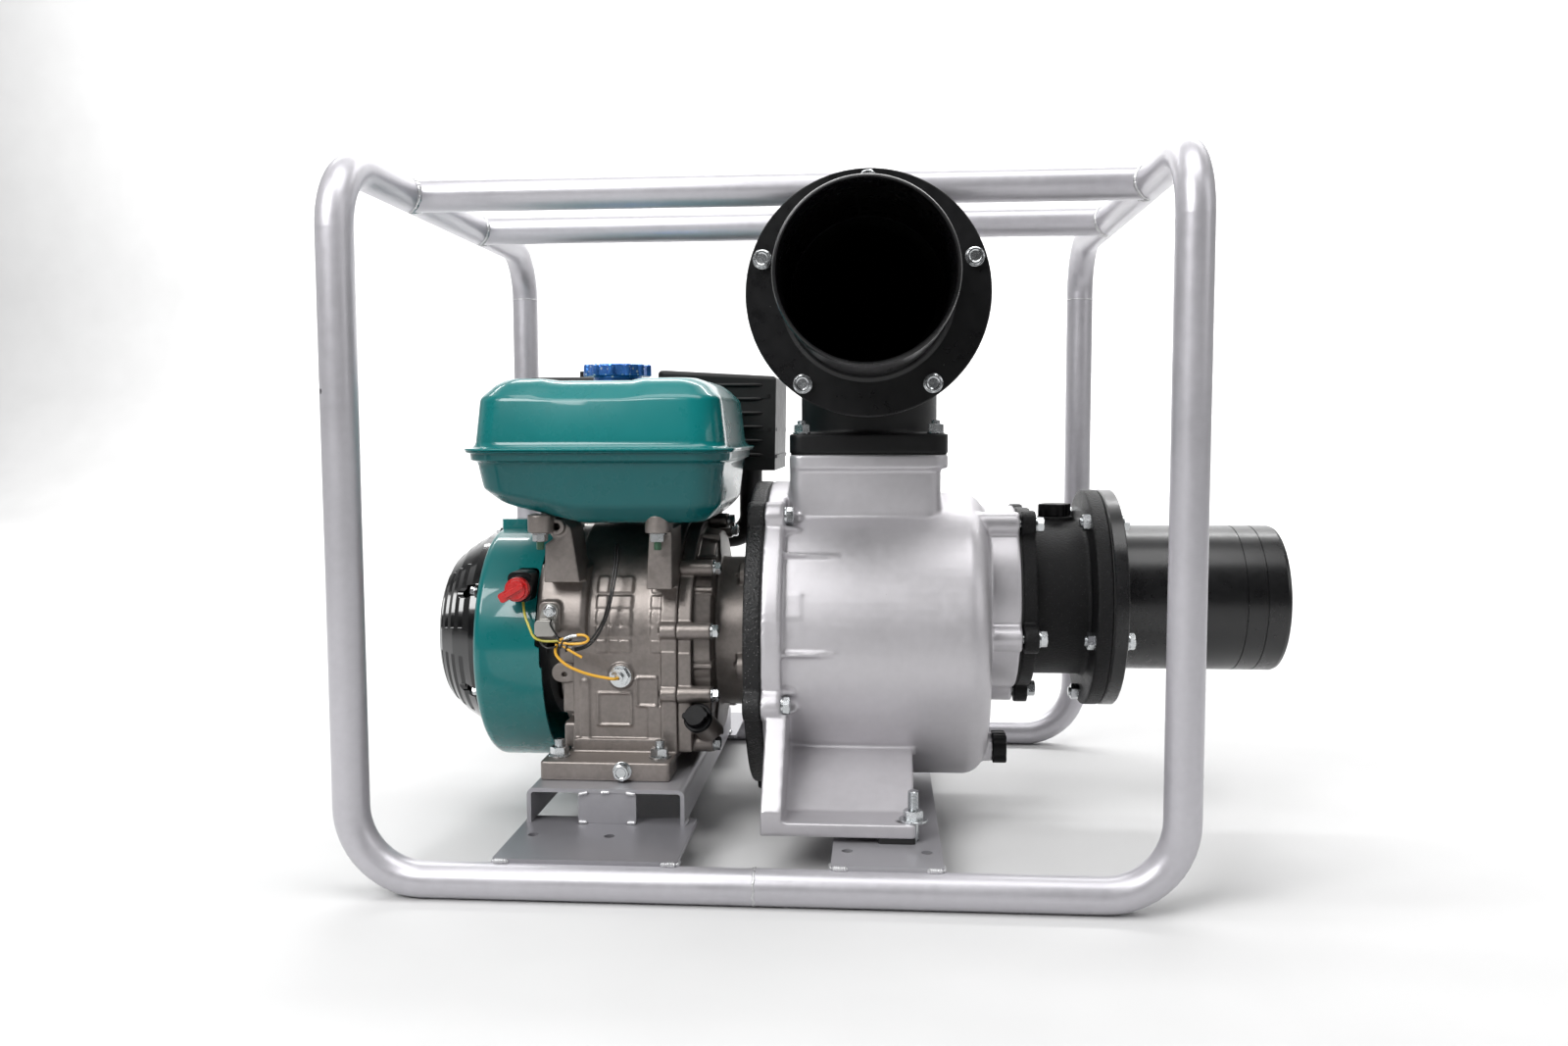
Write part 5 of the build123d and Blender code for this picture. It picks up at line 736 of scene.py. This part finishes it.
bm = bmesh.new()
for si, sx_ in enumerate((-1, 1)):
    for ri, ry in enumerate((-113, 101)):
        loop = []
        for k in range(73):
            th = 2 * pi * k / 72
            x = 361 - abs(16 * cos(th))
            loop.append(P(sx_ * (x - 0.6), ry + 16.1 * cos(th), 645.2 + 15.2 * sin(th)))
        bead(bm, loop, 2.3, 3 + si * 5 + ri, closed=True)
for i, (px0, px1) in enumerate(((-235, -70), (64, 162))):
    for s in (-1, 1):
        bead(bm, [P(px0 + 1, s * 287.6, 33.6), P(px0 + 15, s * 287.6, 33.6)], 2.4, 20 + i)
        bead(bm, [P(px1 - 15, s * 287.6, 33.6), P(px1 - 1, s * 287.6, 33.6)], 2.4, 30 + i)
        bead(bm, [P(px0 + 0.4, s * 287, 33.2), P(px0 + 0.2, s * 276, 33.0)], 2.0, 40 + i)
        bead(bm, [P(px1 - 0.4, s * 287, 33.2), P(px1 - 0.2, s * 276, 33.0)], 2.0, 50 + i)
for s in (-1, 1):
    y = s * 187.2
    for j, (xa, za, xb, zb) in enumerate(((-182, 64, -172, 66.4), (-136, 66.4, -126, 65), (-160, 66.6, -151, 66.8),
                                          (-182, 37.6, -173, 37.2), (-135, 37.2, -126, 37.6))):
        bead(bm, [P(xa, y, za), P(xb, y, zb)], 1.7, 60 + j)
    bead(bm, [P(-231.6, s * 170, 36.8), P(-231.6, s * 186, 36.8)], 2.2, 71)
    bead(bm, [P(-79.4, s * 170, 36.8), P(-79.4, s * 186, 36.8)], 2.2, 72)
me = bpy.data.meshes.new("frame_weld_beads")
bmesh.ops.recalc_face_normals(bm, faces=bm.faces[:])
bm.to_mesh(me)
bm.free()
keep_in_box(me)
link("frame_weld_beads", me, "weld_silver", "pump_set", angle=60)

bm = bmesh.new()
for s in (-1, 1):
    ring = [P(-2 + 0.5 * sin(5 * k), s * 288 + 15.3 * cos(2 * pi * k / 48), 16 + 15.3 * sin(2 * pi * k / 48)) for k in range(49)]
    bead(bm, ring, 1.35, 81 + s, closed=True, ripple=2.4)
for sx_, zz in ((-1, 585), (1, 577)):
    ring = [P(sx_ * 361 + 15.9 * cos(2 * pi * k / 48), 288 + 15.9 * sin(2 * pi * k / 48), zz) for k in range(49)]
    bead(bm, ring, 0.6, 91 + sx_, closed=True, ripple=5)
me = bpy.data.meshes.new("frame_butt_rings")
bmesh.ops.recalc_face_normals(bm, faces=bm.faces[:])
bm.to_mesh(me)
bm.free()
keep_in_box(me)
link("frame_butt_rings", me, "weld_silver", "pump_set", angle=60)

# ------------------------------------------------------------------ wires --
ROUTE_SWITCH = [P(-252, -118, 239.8), P(-248.5, -129, 230), P(-241, -136, 217), P(-236.7, -139, 208),
                P(-229, -139.5, 204.3), P(-219.5, -139.3, 203.8), P(-210.0, -139.1, 204.5)]
ROUTE_SENDER = [P(-212.4, -140.6, 201.6), P(-214.8, -142.4, 194.5), P(-209.5, -144, 187), P(-201, -145, 180.5),
                P(-188, -144, 174.5), P(-174.5, -141, 170), P(-163, -140, 168), P(-155.5, -139.5, 166.6),
                P(-153.2, -133.1, 166.3)]
ROUTE_HARNESS = [P(-158.5, -104, 298), P(-156.5, -112, 285), P(-158, -120.5, 270), P(-159, -126, 255),
                 P(-161.5, -130.5, 240), P(-166, -133.5, 224), P(-174, -135.5, 209), P(-184, -137.5, 197.5),
                 P(-195.2, -139, 196)]


def wire(name, route, r, mat, rep=(), offset=None, wobble=0.0, seed=1):
    line = nurbs(route)
    if offset:
        n = len(line)
        out = []
        for i, q in enumerate(line):
            t = (line[min(i + 1, n - 1)] - line[max(i - 1, 0)]).normalized()
            side = t.cross(Vector((0, 1, 0))).normalized()
            w = 1 + wobble * noise.noise(Vector((i * 0.09, seed, 0)))
            out.append(q + side * offset * MM * w)
        line = out
    bm = bmesh.new()
    tube_mesh(bm, line, r, 14)
    return from_bm(name, bm, mat=mat, rep=rep, angle=60)


wire("stop_switch_lead", ROUTE_SWITCH, 1.3, "wire_yellow", ("stop_switch_wire",))
wire("oil_sender_lead", ROUTE_SENDER, 1.5, "wire_orange", ("oil_sender_wire",))
wire("ignition_lead_outer", ROUTE_HARNESS, 1.15, "wire_black", ("ignition_harness",), offset=1.2, wobble=0.5, seed=2)
wire("ignition_lead_inner", ROUTE_HARNESS, 1.0, "wire_black", (), offset=-1.2, wobble=0.5, seed=5)

# small return loop of the sender lead with its crimp, and the ties round the joint
ROUTE_LOOP = [P(-209.0, -144.6, 204), P(-199, -146.5, 202.6), P(-184, -147.0, 203.2), P(-177.5, -147.0, 207.5),
              P(-183, -146.6, 212.2), P(-193, -145.8, 211.4), P(-203, -145.2, 208.4), P(-209.5, -144.4, 205.6)]
wire("sender_lead_loop", ROUTE_LOOP, 1.35, "wire_orange")
ROUTE_TAIL = [P(-206, -143.4, 200.5), P(-199, -145.2, 196.4), P(-191, -145.8, 192.0), P(-186, -145.6, 189.4)]
wire("sender_lead_tail", ROUTE_TAIL, 1.35, "wire_orange")
bm = bmesh.new()
tube_mesh(bm, [P(-190.5, -145.9, 211.0), P(-197, -145.5, 210.2), P(-204, -145.1, 207.7)], [1.9, 2.1, 1.9], 10)
from_bm("lead_crimp_sleeve", bm, mat="zinc", angle=40)
bm = bmesh.new()
for i, (c0, ax, rr) in enumerate(((P(-206.5, -140.2, 203.2), Vector((1, 0.1, -0.45)), 6.1),
                                  (P(-200.5, -140.3, 200.4), Vector((1, -0.1, -0.4)), 5.9),
                                  (P(-209.5, -141.0, 206.0), Vector((0.7, 0.1, 0.7)), 4.6))):
    x_, y_, a_ = frame_of(ax)
    ring = []
    for k in range(33):
        th = 2 * pi * k / 32
        ring.append(c0 + (x_ * cos(th) + y_ * sin(th)) * (rr + 0.25 * sin(3 * th + i)) * MM)
    tube_mesh(bm, ring, 1.05, 8)
tail_pts = [[P(-209, -145.5, 208), P(-214, -145.0, 215), P(-219, -144.0, 223), P(-216, -145.5, 226)],
            [P(-204, -145.6, 203), P(-196, -146.2, 205), P(-186, -146.6, 206.8), P(-174, -146.4, 206.0)],
            [P(-212, -144.6, 200), P(-219, -143.6, 197), P(-226, -142.6, 199.5), P(-229, -141.6, 203.5)]]
for q in tail_pts:
    tube_mesh(bm, nurbs(q, 6), 0.95, 8)
from_bm("cable_ties", bm, mat="wire_black", angle=50)

# pressed ribs of the heat shield and a rolled top edge
bm = bmesh.new()
for z in (384, 400, 416, 432, 448, 464):
    pts = [P(-138, 86.6, z), P(-134, 85.4, z), P(-128, 84.9, z), P(-40, 84.9, z), P(-33, 85.4, z), P(-28, 86.6, z)]
    tube_mesh(bm, pts, [1.0, 2.0, 2.3, 2.3, 2.0, 1.0], 12)
me = bpy.data.meshes.new("muffler_shield_ribs")
bmesh.ops.recalc_face_normals(bm, faces=bm.faces[:])
bm.to_mesh(me)
bm.free()
link("muffler_shield_ribs", me, "heat_black", BODY["muffler_shield"], angle=60)

# ------------------------------------------------------- floor and light --
def floor_material():
    m = bpy.data.materials.new("floor_white")
    m.use_nodes = True
    nt = m.node_tree
    b = nt.nodes["Principled BSDF"]
    b.inputs["Specular IOR Level"].default_value = 0.2
    b.inputs["Roughness"].default_value = 0.75
    tc = nt.nodes.new("ShaderNodeTexCoord")
    n = nt.nodes.new("ShaderNodeTexNoise")
    n.inputs["Scale"].default_value = 6
    nt.links.new(tc.outputs["Object"], n.inputs["Vector"])
    r = nt.nodes.new("ShaderNodeValToRGB")
    r.color_ramp.elements[0].color = (0.60, 0.60, 0.60, 1)
    r.color_ramp.elements[1].color = (0.66, 0.66, 0.66, 1)
    nt.links.new(n.outputs["Fac"], r.inputs["Fac"])
    nt.links.new(r.outputs["Color"], b.inputs["Base Color"])
    return m


floor_me = bpy.data.meshes.new("studio_floor")
fb = bmesh.new()
prof = [(-8.0, 0.0), (3.2, 0.0), (3.7, 0.06), (4.1, 0.26), (4.4, 0.6), (4.5, 1.1), (4.5, 6.0)]
frows = [[fb.verts.new((x, y, z)) for y, z in prof] for x in (-9.0, 9.0)]
for i in range(len(prof) - 1):
    fb.faces.new((frows[0][i], frows[1][i], frows[1][i + 1], frows[0][i + 1]))
bmesh.ops.recalc_face_normals(fb, faces=fb.faces[:])
fb.to_mesh(floor_me)
fb.free()
floor_me.shade_smooth()
floor = bpy.data.objects.new("studio_floor", floor_me)
scene.collection.objects.link(floor)
floor_me.materials.append(floor_material())


def area(name, loc, target, size, power, size_y=None, colour=(1, 1, 1)):
    d = bpy.data.lights.new(name, "AREA")
    d.shape = "RECTANGLE"
    d.size = size
    d.size_y = size_y or size
    d.energy = power
    d.color = colour
    o = bpy.data.objects.new(name, d)
    scene.collection.objects.link(o)
    o.location = loc
    o.rotation_euler = (Vector(target) - Vector(loc)).to_track_quat("-Z", "Y").to_euler()
    return o


area("key", (-1.35, -2.0, 2.0), (0, 0, 0.35), 1.5, 66, 1.2)
area("side", (2.3, -1.1, 1.5), (0.1, 0, 0.3), 1.2, 9, 1.6)
area("top", (0.05, -0.75, 2.6), (0, 0, 0.3), 2.2, 38, 1.3)
area("wash", (0.0, 2.3, 3.6), (0, 4.5, 1.0), 6.5, 430, 1.2)
area("rim", (0.0, 1.9, 2.4), (0, 0.2, 0.3), 3.0, 14, 0.8)
world = bpy.data.worlds.new("studio") if not scene.world else scene.world
scene.world = world
world.use_nodes = True
wt = world.node_tree
for n in list(wt.nodes):
    wt.nodes.remove(n)
wo = wt.nodes.new("ShaderNodeOutputWorld")
bg = wt.nodes.new("ShaderNodeBackground")
bg.inputs["Strength"].default_value = 1.0
tcw = wt.nodes.new("ShaderNodeTexCoord")
sx = wt.nodes.new("ShaderNodeSeparateXYZ")
rw = wt.nodes.new("ShaderNodeValToRGB")
els = rw.color_ramp.elements
els[0].position, els[0].color = 0.0, (0.06, 0.06, 0.063, 1)
els[1].position, els[1].color = 1.0, (0.75, 0.75, 0.75, 1)
for pos, v in ((0.40, 0.13), (0.56, 0.34), (0.72, 0.65)):
    e = els.new(pos)
    e.color = (v, v, v, 1)
mw = wt.nodes.new("ShaderNodeMapRange")
mw.inputs["From Min"].default_value = -1
mw.inputs["From Max"].default_value = 1
wt.links.new(tcw.outputs["Generated"], sx.inputs["Vector"])
wt.links.new(sx.outputs["Y"], mw.inputs["Value"])
wt.links.new(mw.outputs["Result"], rw.inputs["Fac"])
wt.links.new(rw.outputs["Color"], bg.inputs["Color"])
wt.links.new(bg.outputs["Background"], wo.inputs["Surface"])
scene.view_settings.view_transform = "Standard"
scene.view_settings.look = "None"
scene.view_settings.exposure = 0.0
